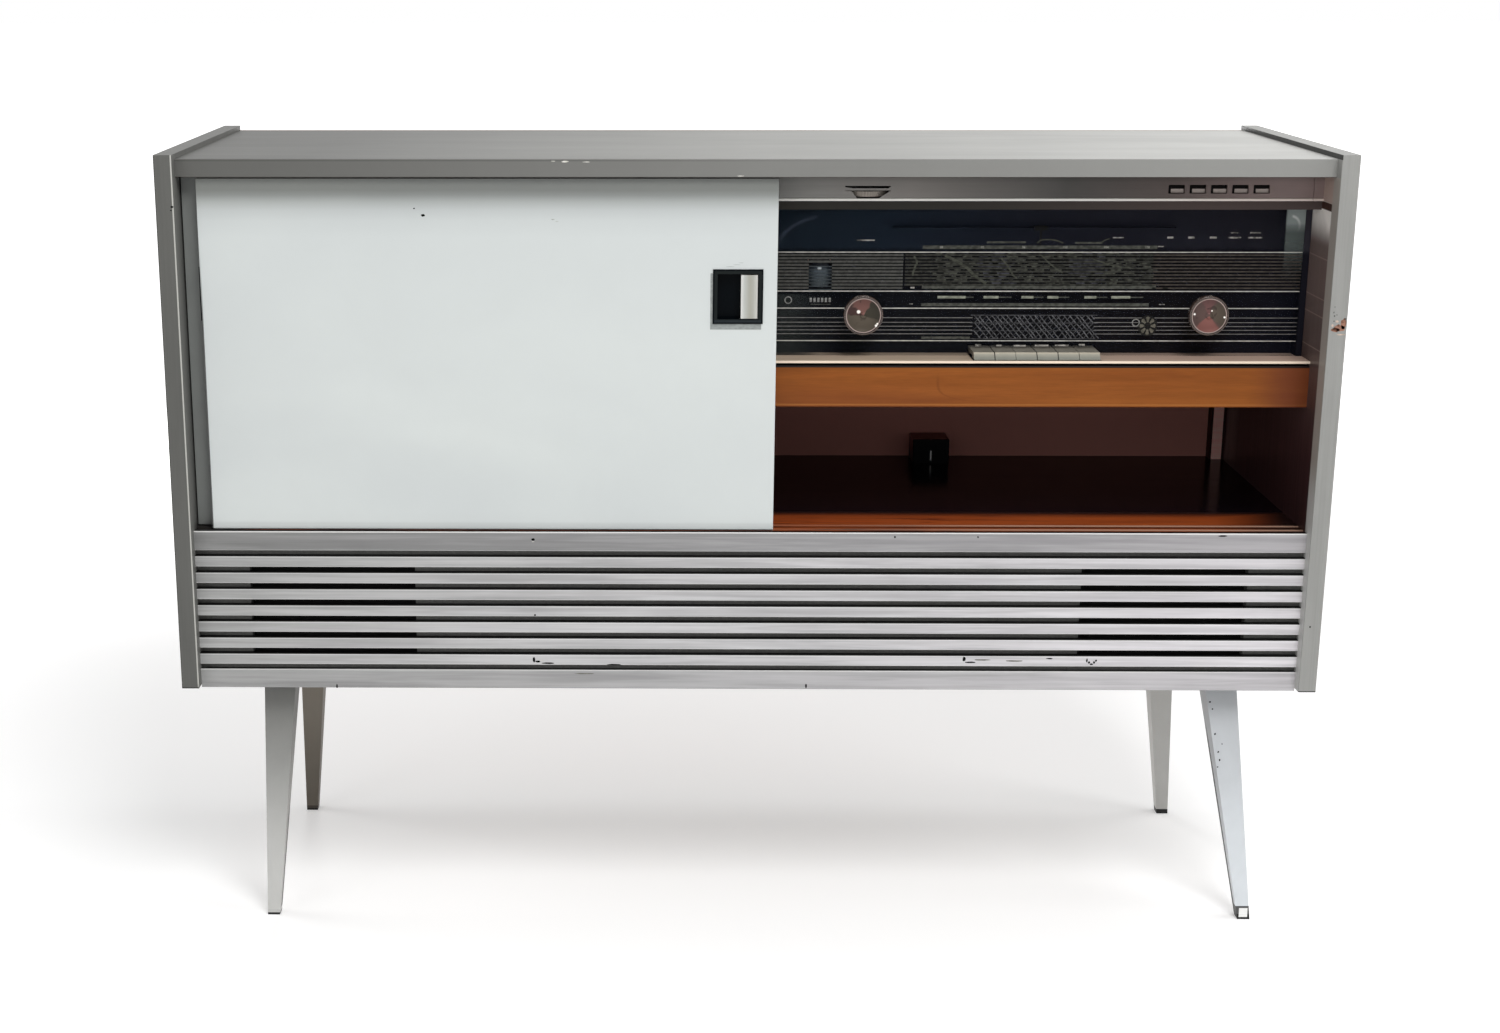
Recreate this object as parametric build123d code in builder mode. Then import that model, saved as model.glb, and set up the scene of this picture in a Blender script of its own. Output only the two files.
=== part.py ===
from build123d import *
import os

# Stereo music centre on splayed legs, in millimetres.
# The origin is on the floor under the middle of the cabinet: +X to the right, +Y to the back, +Z up.
# A "setback" is a distance behind the front edges of the side panels.

# ---------------------------------------------------------------- cabinet
width = 1180.0
depth = 372.0
leg_height = 271.0
cabinet_height = 552.0
side_thickness = 18.0
panel_thickness = 18.0
bottom_thickness = 16.0
top_drop = 5.0              # the top lies this far below the tops of the side panels
fascia_setback = 14.0       # front edge of the top, the rails and the slats
edge_round = 0.8
back_thickness = 4.0
back_recess = 2.0           # the back panel lies this far inside the side panels
batten_side = 16.0
partition_shift = 9.0       # middle of the centre partition from the middle of the cabinet
inner_gap = 2.0             # from the back of the rear door to what stands behind it

# ---------------------------------------------------------------- grille and speakers
rail_height = 20.5
slat_height = 12.2
slat_gap = 5.45
slat_count = 7
slat_thickness = 6.0
lower_rail_drop = 3.5       # the lower rail hangs this far below the side panels
baffle_thickness = 12.0
aperture_width = 172.0
aperture_height = 106.0
aperture_inset = 141.0      # from the side panel to the middle of an aperture
aperture_drop = 5.5         # the apertures lie this far below the middle of the grille
cloth_thickness = 1.0
cloth_margin = 8.0
basket_wall = 1.5
basket_depth = 42.0
basket_rim = 9.0
rim_thickness = 2.0
basket_clearance = 1.0      # above and below a basket
cone_wall = 1.0
cone_depth = 30.0
cone_throat = 13.0
cone_clearance = 4.0
magnet_radius = 30.0
magnet_thickness = 22.0

# ---------------------------------------------------------------- legs
leg_top_side = 33.5
leg_foot_side = 13.2
leg_inset_x = 74.0          # from the side panel's inner face to the middle of a leg's top
leg_inset_y = 58.0          # from the cabinet's front or back to the middle of a leg's top
front_leg_shift = 4.2       # the front pair stands this far to the right
front_left_splay = 16.3     # sideways lean of each leg, from its top to its foot
front_right_splay = 40.9
rear_right_splay = 25.3
rear_left_splay = 14.8
leg_lean = 20.0             # lean of every leg to the front or back
plate_margin = 14.0         # a leg's plate reaches this far past the leg
plate_thickness = 3.0
cap_height = 6.0

# ---------------------------------------------------------------- door tracks and doors
groove_width = 5.0
groove_depth = 4.8
top_groove_depth = 10.0
track_inset = 6.0           # from the baffle's front to the front groove's middle
track_pitch = 16.0
track_board_depth = 81.0
door_thickness = 12.0
door_width = 579.0
door_gap = 1.5              # above and below a door's panel
tongue_clearance = 0.5      # at each side of a tongue in its groove
tongue_float = 0.3          # under a door's lower tongue
top_tongue = 7.0            # reach of the upper tongue above the panel
side_gap = 0.5              # between a closed door and the side panel
front_door_slack = 18.5     # the front door, slid open, stops this far from the left side panel
door_round = 0.6

# ---------------------------------------------------------------- door pulls
pull_width = 50.4
pull_height = 55.0
pull_inset = 14.0           # from the door's edge to the pull's frame
pull_raise = 62.0           # above the middle of the door opening
pull_flange = 1.4
pull_frame = 4.6            # visible width of the black frame
pull_wall = 1.8
pull_fit = 0.2
pull_floor = 1.8
grip_width = 16.6
grip_gap = 1.0
grip_proud = 0.4

# ---------------------------------------------------------------- tuner bay
shelf_height = 172.5        # top of the tuner shelf above the compartment floor
shelf_thickness = 15.0
ledge_depth = 32.0          # from the shelf's front edge to the dial glass
lip_thickness = 2.5
shelf_rail_depth = 18.0
shelf_rail_height = 43.0
shadow_groove = 2.5
glass_thickness = 3.0
glass_overlap = 8.0         # the glass reaches this far up behind the header batten
end_bar_width = 6.0         # black bars at both ends of the dial
end_bar_proud = 1.5
bar_clearance = 0.4
plate_gap = 13.0            # from the back of the glass to the dial plate
dial_plate_thickness = 1.2
header_height = 36.0
strip_height = 27.0
strip_thickness = 3.0
strip_lip_height = 2.4
strip_lip_proud = 0.8
strip_end = 10.6            # from the strip's seam to the side panel
seam_width = 0.8
seam_depth = 1.0

# ---------------------------------------------------------------- knobs, dial pointer, magic eye
knob_radius = 20.2
knob_stand = 22.0           # from the glass to the front of a knob
knob_depth = 18.0
knob_dish = 2.0
knob_rim = 1.6
knob_skirt_radius = 13.0
knob_disc = 8.0
knob_offset = 176.2         # from the middle of the dial to each knob
knob_height = 45.0          # above the shelf
dial_shift = -2.2           # middle of the dial from the middle of the bay
spindle_radius = 3.0
press_clearance = 0.02
running_clearance = 0.05
spindle_hole_clearance = 1.0
bush_radius = 7.0
bush_length = 12.0
spindle_tail = 3.0
drive_drum_radius = 4.0
drive_drum_length = 7.0
pointer_offset = 6.0
pointer_width = 1.6
pointer_thickness = 1.0
pointer_height = 70.0       # lower end of the pointer above the shelf
pointer_rail_height = 130.0
pointer_rail_thickness = 1.2
pointer_rail_reach = 7.0
pointer_rail_half = 145.0
carriage_length = 14.0
carriage_wall = 1.2
carriage_reach = 4.0
slide_clearance = 0.3
eye_radius = 12.0
eye_length = 29.0
eye_offset = 219.5
eye_height = 70.5           # lower end of the magic eye above the shelf
eye_clearance = 0.1

# ---------------------------------------------------------------- balance wheel and push buttons
wheel_radius = 22.0
wheel_height = 9.6
wheel_slot_width = 46.0
wheel_slot_raise = 2.6      # above the strip's lower edge
wheel_slot_height = 12.4
wheel_flush = 0.6
wheel_pin_radius = 3.0
wheel_pin_length = 7.0
wheel_teeth = 48
tooth_radius = 0.7
button_count = 5
last_button_inset = 62.2    # from the side panel to the middle of the last button
button_pitch = 21.2
window_width = 16.4
window_height = 8.7
window_raise = 11.7         # middle of the windows above the strip's lower edge
button_clearance = 0.4
button_sink = 2.0
button_flange = 1.6
button_flange_thickness = 2.0

# ---------------------------------------------------------------- piano keys
key_count = 6
key_pitch = 21.6
key_gap = 0.5
key_inset = 3.5             # from the shelf's front edge to the keys
key_nose = 6.5              # run of the sloped front face
key_float = 0.5             # under a key at rest
key_height = 7.2            # top of a key above the shelf
key_tail = 4.4
key_block = 14.0
key_pivot_back = 45.0       # from the chassis front to the keys' rod
key_pivot_height = 5.0
key_rod_radius = 2.0
key_hub_radius = 4.4
key_slot_inset = 2.4
key_slot_depth = 5.5
key_slot_margin = 1.0
key_headroom = 1.6

# ---------------------------------------------------------------- tuner chassis and what stands on it
chassis_width = 480.0
chassis_gap = 5.8           # from the dial plate to the chassis
chassis_depth = 215.0
chassis_height = 56.0
sheet = 2.0
cheek_width = 3.0
cheek_depth = 16.0
transformer_inset = 65.0
core_width = 70.0
core_depth = 46.0
core_height = 58.0
coil_width = 44.0
coil_depth = 66.0
coil_height = 40.0
capacitor_inset = 75.0
capacitor_setback = 60.0
capacitor_width = 52.0
capacitor_depth = 64.0
capacitor_height = 44.0
capacitor_wall = 3.0
vane_count = 7
vane_thickness = 1.6
valve_count = 5
valve_radius = 10.5
valve_height = 44.0
valve_socket_radius = 13.0
valve_socket_height = 8.0
valve_pitch = 48.0
rear_row_inset = 70.0       # from the chassis back to the valves and the transformer

# ---------------------------------------------------------------- sockets and back panel details
box_inset = 187.5           # from the centre partition to the socket box
box_width = 42.0
box_depth = 40.0
box_height = 28.0
box_round = 1.6
box_slot_width = 3.0
box_slot_height = 12.0
box_slot_raise = 9.0        # middle of the slot above the compartment floor
box_slot_depth = 1.5
socket_plate_width = 150.0
socket_plate_height = 52.0
socket_plate_shift = -75.0  # from the middle of the bay
socket_plate_raise = 41.0   # above the shelf
socket_radius = 8.0
socket_wall = 1.5
socket_depth = 9.0
socket_count = 3
socket_pitch = 32.0
gland_radius = 7.0
gland_bore = 3.6
back_window_margin = 6.0
vent_rows = 4
vent_columns = 4
vent_width = 70.0
vent_height = 5.0
vent_pitch_x = 100.0
vent_pitch_z = 12.0
vent_raise = 121.0
screw_columns = 6
screw_margin = 60.0
screw_radius = 1.75
screw_head_radius = 4.0
screw_head = 1.6
screw_length = 14.0
screw_clearance = 0.05
screw_floor = 1.0

# ---------------------------------------------------------------- record deck
deck_height = 70.5          # top of the deck board above the compartment floor
deck_board_thickness = 12.0
deck_board_inset = 2.0
deck_shift = -4.0           # middle of the deck plate from the middle of the left compartment
deck_width = 360.0
deck_depth = 270.0
deck_thickness = 4.0
deck_corner = 14.0
deck_cutout_margin = 24.0
platter_shift = -45.0       # from the middle of the deck plate
platter_radius = 125.0
platter_gap = 5.0
platter_thickness = 10.0
platter_rim = 8.0
platter_recess = 3.0
platter_shaft_radius = 5.0
platter_boss_radius = 12.0
platter_boss_length = 16.0
record_pin_radius = 3.5
record_pin_height = 28.0
mat_thickness = 3.0
record_thickness = 1.6
motor_shift_x = -65.0       # from the platter's axis
motor_shift_y = 48.0
motor_radius = 34.0
motor_height = 46.0
motor_lug = 10.0
motor_lug_thickness = 4.0
arm_pivot_shift_x = 145.0   # from the middle of the deck plate
arm_pivot_shift_y = 83.0
arm_length = 217.0          # from the pivot to the stylus
arm_rise = 46.0             # middle of the arm above the deck plate
arm_radius = 4.0
arm_base_radius = 16.0
arm_base_height = 26.0
arm_shaft_radius = 4.0
arm_shaft_float = 0.3
yoke_width = 26.0
yoke_wall = 4.0
yoke_depth = 16.0
yoke_base = 4.0
yoke_clearance = 0.5
arm_pin_radius = 2.0
arm_hub_radius = 6.5
arm_tail = 42.0
weight_radius = 12.0
weight_length = 22.0
shell_width = 17.0
shell_length = 40.0
shell_height = 8.0
shell_nose = 5.0
cartridge_width = 11.0
cartridge_length = 20.0
cartridge_nose = 5.0
stylus_radius = 0.8
stylus_drop = 3.0
rest_reach = 145.0          # from the pivot to the arm's rest, along the arm
rest_width = 16.0
rest_depth = 8.0
rest_lip = 3.0
lever_shift_x = 110.0       # from the middle of the deck plate
lever_shift_y = -102.0
lever_hub_radius = 8.0
lever_height = 5.0
lever_length = 22.0
lever_pin_radius = 3.0
lever_knob_radius = 4.0
lever_knob_height = 9.0

# ---------------------------------------------------------------- levels, from the floor up
cabinet_top = leg_height + cabinet_height
top_level = cabinet_top - top_drop
opening_top = top_level - panel_thickness
bottom_level = leg_height + bottom_thickness
lower_rail_bottom = leg_height - lower_rail_drop
grille_height = 2 * rail_height + slat_count * slat_height + (slat_count + 1) * slat_gap
floor_level = lower_rail_bottom + grille_height
floor_bottom = floor_level - panel_thickness
aperture_z = (lower_rail_bottom + floor_level) / 2 - aperture_drop
shelf_top = floor_level + shelf_height
shelf_bottom = shelf_top - shelf_thickness
lip_bottom = shelf_top - lip_thickness
shelf_rail_top = lip_bottom - shadow_groove
header_bottom = opening_top - header_height
strip_bottom = opening_top - strip_height
glass_top = header_bottom + glass_overlap
knob_z = shelf_top + knob_height
eye_bottom = shelf_top + eye_height
pointer_bottom = shelf_top + pointer_height
pointer_rail_z = shelf_top + pointer_rail_height
wheel_slot_bottom = strip_bottom + wheel_slot_raise
wheel_slot_top = wheel_slot_bottom + wheel_slot_height
window_z = strip_bottom + window_raise
key_bottom = shelf_top + key_float
key_top = shelf_top + key_height
key_pivot_z = shelf_top + key_pivot_height
key_slot_top = key_top + key_headroom
chassis_top = shelf_top + chassis_height
deck_board_top = floor_level + deck_height
deck_board_bottom = deck_board_top - deck_board_thickness
deck_level = deck_board_top + deck_thickness
platter_bottom = deck_level + platter_gap
platter_top = platter_bottom + platter_thickness
record_level = platter_top + mat_thickness + record_thickness
arm_height = deck_level + arm_rise

# ---------------------------------------------------------------- setbacks, from the front to the back
front_y = -depth / 2
carcass_back = depth - back_recess - back_thickness
baffle_setback = fascia_setback + slat_thickness
baffle_back = baffle_setback + baffle_thickness
track_back = baffle_setback + track_board_depth
front_track = baffle_setback + track_inset
rear_track = front_track + track_pitch
inner_setback = rear_track + door_thickness / 2 + inner_gap
strip_back = inner_setback + strip_thickness
shelf_rail_back = inner_setback + shelf_rail_depth
glass_setback = inner_setback + ledge_depth
glass_back = glass_setback + glass_thickness
plate_front = glass_back + plate_gap
plate_back = plate_front + dial_plate_thickness
knob_setback = glass_setback - knob_stand
key_front = inner_setback + key_inset
chassis_front = plate_back + chassis_gap
chassis_back = chassis_front + chassis_depth
key_pivot_setback = chassis_front + key_pivot_back

# ---------------------------------------------------------------- places across the width
inner_half = width / 2 - side_thickness
partition_left = partition_shift - panel_thickness / 2
partition_right = partition_shift + panel_thickness / 2
bay_centre = (partition_right + inner_half) / 2
dial_centre = bay_centre + dial_shift
volume_x = dial_centre - knob_offset
tuning_x = dial_centre + knob_offset
eye_x = dial_centre - eye_offset
glass_left = partition_right + bar_clearance + end_bar_width
glass_right = inner_half - bar_clearance - end_bar_width
key_slot_left = bay_centre - key_count * key_pitch / 2 - key_slot_margin
key_slot_right = bay_centre + key_count * key_pitch / 2 + key_slot_margin
aperture_offset = inner_half - aperture_inset
deck_x = (partition_left - inner_half) / 2 + deck_shift
deck_y = front_y + (inner_setback + carcass_back) / 2
platter_x = deck_x + platter_shift
arm_pivot_x = deck_x + arm_pivot_shift_x
arm_pivot_y = deck_y + arm_pivot_shift_y
lever_x = deck_x + lever_shift_x
lever_y = deck_y + lever_shift_y


def y_at(setback):
    """Y of a plane at a setback behind the front edges of the side panels."""
    return front_y + setback


def level(z):
    """Level plane at height z."""
    return Plane.XY.offset(z)


def upright(setback):
    """Upright plane that faces the front; a sketch on it uses X and Z, and a negative extrusion goes back."""
    return Plane.XZ.offset(-y_at(setback))


def crosswise(x):
    """Upright plane that faces right; a sketch on it uses Y and Z."""
    return Plane.YZ.offset(x)


def rect(low_1, high_1, low_2, high_2, mode=Mode.ADD):
    """Rectangle between two corners, in the sketch that is open."""
    with Locations(((low_1 + high_1) / 2, (low_2 + high_2) / 2)):
        Rectangle(high_1 - low_1, high_2 - low_2, mode=mode)


os.makedirs("parts", exist_ok=True)


# ================================================================ cabinet shell
def side_panel(outer_x, inner_x):
    """One side panel with softened front and back edges."""
    with BuildPart() as panel:
        with BuildSketch(level(leg_height)):
            rect(min(outer_x, inner_x), max(outer_x, inner_x), front_y, -front_y)
        extrude(amount=cabinet_height)
        fillet(panel.edges().filter_by(Axis.Z), edge_round)
    return panel.part


with BuildPart() as left_side_panel:
    add(side_panel(-width / 2, -inner_half))
left_side_panel.part.label = "left_side_panel"
export_step(left_side_panel.part, "parts/left_side_panel.step")

with BuildPart() as right_side_panel:
    add(side_panel(width / 2, inner_half))
right_side_panel.part.label = "right_side_panel"
export_step(right_side_panel.part, "parts/right_side_panel.step")

screw_xs = [
    -inner_half + screw_margin + i * 2 * (inner_half - screw_margin) / (screw_columns - 1)
    for i in range(screw_columns)
]
top_screw_z = (opening_top + top_level) / 2
bottom_screw_z = leg_height + bottom_thickness / 2
screw_points = [(x, z) for x in screw_xs for z in (bottom_screw_z, top_screw_z)]
pilot_depth = screw_length + screw_floor

with BuildPart() as top_panel:
    with BuildSketch(level(opening_top)):
        rect(-inner_half, inner_half, y_at(fascia_setback), y_at(carcass_back))
    extrude(amount=panel_thickness)
    fillet(top_panel.faces().sort_by(Axis.Y)[0].edges().filter_by(Axis.X), edge_round)
    with BuildSketch(level(opening_top)):
        for track in (front_track, rear_track):
            rect(-inner_half, inner_half, y_at(track - groove_width / 2), y_at(track + groove_width / 2))
    extrude(amount=top_groove_depth, mode=Mode.SUBTRACT)
    with BuildSketch(upright(carcass_back)):
        with Locations(*[(x, top_screw_z) for x in screw_xs]):
            Circle(screw_radius + screw_clearance)
    extrude(amount=pilot_depth - back_thickness, mode=Mode.SUBTRACT)
top_panel.part.label = "top_panel"
export_step(top_panel.part, "parts/top_panel.step")

with BuildPart() as bottom_panel:
    with BuildSketch(level(leg_height)):
        rect(-inner_half, inner_half, y_at(baffle_back), y_at(carcass_back))
    extrude(amount=bottom_thickness)
    with BuildSketch(upright(carcass_back)):
        with Locations(*[(x, bottom_screw_z) for x in screw_xs]):
            Circle(screw_radius + screw_clearance)
    extrude(amount=pilot_depth - back_thickness, mode=Mode.SUBTRACT)
bottom_panel.part.label = "bottom_panel"
export_step(bottom_panel.part, "parts/bottom_panel.step")

with BuildPart() as lower_door_track:
    with BuildSketch(level(floor_bottom)):
        rect(-inner_half, inner_half, y_at(baffle_setback), y_at(track_back))
    extrude(amount=panel_thickness)
    with BuildSketch(level(floor_level)):
        for track in (front_track, rear_track):
            rect(-inner_half, inner_half, y_at(track - groove_width / 2), y_at(track + groove_width / 2))
    extrude(amount=-groove_depth, mode=Mode.SUBTRACT)
lower_door_track.part.label = "lower_door_track"
export_step(lower_door_track.part, "parts/lower_door_track.step")

with BuildPart() as compartment_floor:
    with BuildSketch(level(floor_bottom)):
        rect(-inner_half, inner_half, y_at(track_back), y_at(carcass_back))
    extrude(amount=panel_thickness)
compartment_floor.part.label = "compartment_floor"
export_step(compartment_floor.part, "parts/compartment_floor.step")

with BuildPart() as center_partition:
    with BuildSketch(level(floor_level)):
        rect(partition_left, partition_right, y_at(inner_setback), y_at(carcass_back))
    extrude(amount=opening_top - floor_level)
center_partition.part.label = "center_partition"
export_step(center_partition.part, "parts/center_partition.step")

socket_plate_x = bay_centre + socket_plate_shift
socket_plate_z = shelf_top + socket_plate_raise
back_window_x = socket_plate_width - 2 * back_window_margin
back_window_z = socket_plate_height - 2 * back_window_margin
with BuildPart() as back_panel:
    with BuildSketch(upright(carcass_back)):
        rect(-inner_half, inner_half, leg_height, top_level)
        with Locations((bay_centre, shelf_top + vent_raise)):
            with GridLocations(vent_pitch_x, vent_pitch_z, vent_columns, vent_rows):
                SlotOverall(vent_width, vent_height, mode=Mode.SUBTRACT)
        with Locations((socket_plate_x, socket_plate_z)):
            Rectangle(back_window_x, back_window_z, mode=Mode.SUBTRACT)
        with Locations(*screw_points):
            Circle(screw_radius + screw_clearance, mode=Mode.SUBTRACT)
    extrude(amount=-back_thickness)
back_panel.part.label = "back_panel"
export_step(back_panel.part, "parts/back_panel.step")

with BuildPart() as back_screws:
    with BuildSketch(upright(carcass_back + back_thickness)):
        with Locations(*screw_points):
            Circle(screw_radius)
    extrude(amount=screw_length)
    with BuildSketch(upright(carcass_back + back_thickness)):
        with Locations(*screw_points):
            Circle(screw_head_radius)
    extrude(amount=-screw_head)
back_screws.part.label = "back_screws"
export_step(back_screws.part, "parts/back_screws.step")

# Upright battens in the rear corners, between the shelves, and the header batten that carries the strip.
batten_spans = [
    (-inner_half, floor_level, deck_board_bottom),
    (-inner_half, deck_board_top, opening_top),
    (inner_half - batten_side, floor_level, shelf_bottom),
    (inner_half - batten_side, shelf_top, opening_top),
]
wheel_x = volume_x
wheel_y = y_at(inner_setback + wheel_flush + wheel_radius)
wheel_slot_left = wheel_x - wheel_slot_width / 2
wheel_slot_right = wheel_x + wheel_slot_width / 2
last_button_x = inner_half - last_button_inset
button_xs = [last_button_x - i * button_pitch for i in reversed(range(button_count))]
with BuildPart() as wooden_battens:
    for batten_left, low, high in batten_spans:
        with BuildSketch(level(low)):
            rect(batten_left, batten_left + batten_side, y_at(carcass_back - batten_side), y_at(carcass_back))
        extrude(amount=high - low)
    with BuildSketch(level(header_bottom)):
        rect(partition_right, inner_half, y_at(strip_back), y_at(glass_setback))
    extrude(amount=opening_top - header_bottom)
    with BuildSketch(upright(strip_back)):
        rect(wheel_slot_left, wheel_slot_right, wheel_slot_bottom, wheel_slot_top)
        with Locations(*[(x, window_z) for x in button_xs]):
            Rectangle(window_width, window_height)
    extrude(amount=strip_back - glass_setback, mode=Mode.SUBTRACT)
    with BuildSketch(level(wheel_slot_bottom - wheel_pin_length - slide_clearance)):
        with Locations((wheel_x, wheel_y)):
            Circle(wheel_pin_radius + running_clearance)
    extrude(amount=wheel_slot_height + 2 * (wheel_pin_length + slide_clearance), mode=Mode.SUBTRACT)
wooden_battens.part.label = "wooden_battens"
export_step(wooden_battens.part, "parts/wooden_battens.step")

# ================================================================ grille, baffle and speakers
grille_bars_z = [(lower_rail_bottom, rail_height), (floor_level - rail_height, rail_height)]
for i in range(slat_count):
    slat_top = floor_level - rail_height - slat_gap - i * (slat_height + slat_gap)
    grille_bars_z.append((slat_top - slat_height, slat_height))
with BuildPart() as grille_bars:
    with BuildSketch(upright(fascia_setback)):
        for bar_bottom, bar_height in grille_bars_z:
            rect(-inner_half, inner_half, bar_bottom, bar_bottom + bar_height)
    extrude(amount=-slat_thickness)
    fillet(grille_bars.faces().group_by(Axis.Y)[0].edges().filter_by(Axis.X), edge_round)
grille_bars.part.label = "grille_bars"
export_step(grille_bars.part, "parts/grille_bars.step")

aperture_points = [(-aperture_offset, aperture_z), (aperture_offset, aperture_z)]
with BuildPart() as speaker_baffle:
    with BuildSketch(upright(baffle_setback)):
        rect(-inner_half, inner_half, leg_height, floor_bottom)
        with Locations(*aperture_points):
            Rectangle(aperture_width, aperture_height, mode=Mode.SUBTRACT)
    extrude(amount=-baffle_thickness)
speaker_baffle.part.label = "speaker_baffle"
export_step(speaker_baffle.part, "parts/speaker_baffle.step")

cloth_half_width = aperture_width / 2 + cloth_margin
cloth_half_height = aperture_height / 2 + cloth_margin
cloth_low = max(aperture_z - cloth_half_height, bottom_level)
cloth_high = min(aperture_z + cloth_half_height, floor_bottom)
with BuildPart() as speaker_cloth:
    with BuildSketch(upright(baffle_back)):
        for centre_x, _ in aperture_points:
            rect(centre_x - cloth_half_width, centre_x + cloth_half_width, cloth_low, cloth_high)
    extrude(amount=-cloth_thickness)
speaker_cloth.part.label = "speaker_cloth"
export_step(speaker_cloth.part, "parts/speaker_cloth.step")

basket_half_width = aperture_width / 2
back_half_width = basket_half_width - basket_rim
basket_room = min(aperture_z - bottom_level, floor_bottom - aperture_z) - basket_clearance
basket_half_height = min(aperture_height / 2, basket_room)
back_half_height = basket_half_height - basket_rim
cone_rim_front = baffle_back + cloth_thickness
basket_front = cone_rim_front + cone_wall
with BuildPart() as speaker_baskets:
    for centre in aperture_points:
        with BuildSketch(upright(basket_front)):
            with Locations(centre):
                Ellipse(basket_half_width, basket_half_height)
                Ellipse(back_half_width, back_half_height, mode=Mode.SUBTRACT)
        extrude(amount=-rim_thickness)
        with BuildSketch(upright(basket_front + rim_thickness)):
            with Locations(centre):
                Ellipse(back_half_width + basket_wall, back_half_height + basket_wall)
        with BuildSketch(upright(basket_front + basket_depth)):
            with Locations(centre):
                Circle(magnet_radius)
        loft()
        with BuildSketch(upright(basket_front + rim_thickness)):
            with Locations(centre):
                Ellipse(back_half_width, back_half_height)
        with BuildSketch(upright(basket_front + basket_depth - basket_wall)):
            with Locations(centre):
                Circle(magnet_radius - basket_wall)
        loft(mode=Mode.SUBTRACT)
speaker_baskets.part.label = "speaker_baskets"
export_step(speaker_baskets.part, "parts/speaker_baskets.step")

cone_half_width = back_half_width - cone_clearance
cone_half_height = back_half_height - cone_clearance
with BuildPart() as speaker_cones:
    for centre in aperture_points:
        with BuildSketch(upright(cone_rim_front)):
            with Locations(centre):
                Ellipse(basket_half_width, basket_half_height)
        extrude(amount=-cone_wall)
        with BuildSketch(upright(cone_rim_front + cone_wall)):
            with Locations(centre):
                Ellipse(cone_half_width + cone_wall, cone_half_height + cone_wall)
        with BuildSketch(upright(cone_rim_front + cone_depth)):
            with Locations(centre):
                Circle(cone_throat)
        loft()
        with BuildSketch(upright(cone_rim_front)):
            with Locations(centre):
                Ellipse(cone_half_width, cone_half_height)
        with BuildSketch(upright(cone_rim_front + cone_depth - cone_wall)):
            with Locations(centre):
                Circle(cone_throat - cone_wall)
        loft(mode=Mode.SUBTRACT)
speaker_cones.part.label = "speaker_cones"
export_step(speaker_cones.part, "parts/speaker_cones.step")

with BuildPart() as speaker_magnets:
    with BuildSketch(upright(basket_front + basket_depth)):
        with Locations(*aperture_points):
            Circle(magnet_radius)
    extrude(amount=-magnet_thickness)
    chamfer(speaker_magnets.faces().group_by(Axis.Y)[-1].edges(), edge_round)
speaker_magnets.part.label = "speaker_magnets"
export_step(speaker_magnets.part, "parts/speaker_magnets.step")

# ================================================================ legs
leg_top = leg_height - plate_thickness
leg_places = [
    (-1, -1, front_leg_shift, front_left_splay),
    (1, -1, front_leg_shift, front_right_splay),
    (1, 1, 0, rear_right_splay),
    (-1, 1, 0, rear_left_splay),
]


def leg_section(z, sign_x, sign_y, shift, splay):
    """Centre and side of a leg's square section at height z."""
    share = (leg_top - z) / leg_top
    side = leg_top_side + share * (leg_foot_side - leg_top_side)
    centre_x = sign_x * (inner_half - leg_inset_x + share * splay) + shift
    centre_y = sign_y * (-front_y - leg_inset_y + share * leg_lean)
    return (centre_x, centre_y), side


def tapered_leg(low, high, place):
    """Stretch of one splayed leg between two heights."""
    with BuildPart() as stretch:
        for z in (low, high):
            centre, side = leg_section(z, *place)
            with BuildSketch(level(z)):
                with Locations(centre):
                    Rectangle(side, side)
        loft()
    return stretch.part


with BuildPart() as legs:
    for place in leg_places:
        add(tapered_leg(cap_height, leg_top, place))
legs.part.label = "legs"
export_step(legs.part, "parts/legs.step")

with BuildPart() as foot_caps:
    for place in leg_places:
        add(tapered_leg(0, cap_height, place))
foot_caps.part.label = "foot_caps"
export_step(foot_caps.part, "parts/foot_caps.step")

with BuildPart() as leg_plates:
    with BuildSketch(level(leg_top)):
        with Locations(*[leg_section(leg_top, *place)[0] for place in leg_places]):
            Rectangle(leg_top_side + 2 * plate_margin, leg_top_side + 2 * plate_margin)
    extrude(amount=plate_thickness)
    fillet(leg_plates.edges().filter_by(Axis.Z), plate_thickness)
leg_plates.part.label = "leg_plates"
export_step(leg_plates.part, "parts/leg_plates.step")

# ================================================================ sliding doors and their pulls
panel_bottom = floor_level + door_gap
panel_top = opening_top - door_gap
tongue_bottom = floor_level - groove_depth + tongue_float
tongue_thickness = groove_width - 2 * tongue_clearance
pull_centre_z = (floor_level + opening_top) / 2 + pull_raise
cup_half_width = pull_width / 2 - pull_frame + pull_wall
cup_half_height = pull_height / 2 - pull_frame + pull_wall


def door(left, track, pull_x):
    """Door panel with a tongue along its top and bottom, and the hole that its pull sits in."""
    right = left + door_width
    with BuildPart() as leaf:
        with BuildSketch(upright(track - door_thickness / 2)):
            rect(left, right, panel_bottom, panel_top)
        extrude(amount=-door_thickness)
        fillet(leaf.faces().sort_by(Axis.Y)[0].edges(), door_round)
        with BuildSketch(upright(track - tongue_thickness / 2)):
            rect(left, right, tongue_bottom, panel_top + top_tongue)
        extrude(amount=-tongue_thickness)
        with BuildSketch(upright(track - door_thickness / 2)):
            with Locations((pull_x, pull_centre_z)):
                Rectangle(2 * (cup_half_width + pull_fit), 2 * (cup_half_height + pull_fit))
        extrude(amount=-door_thickness, mode=Mode.SUBTRACT)
    return leaf.part


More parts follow.
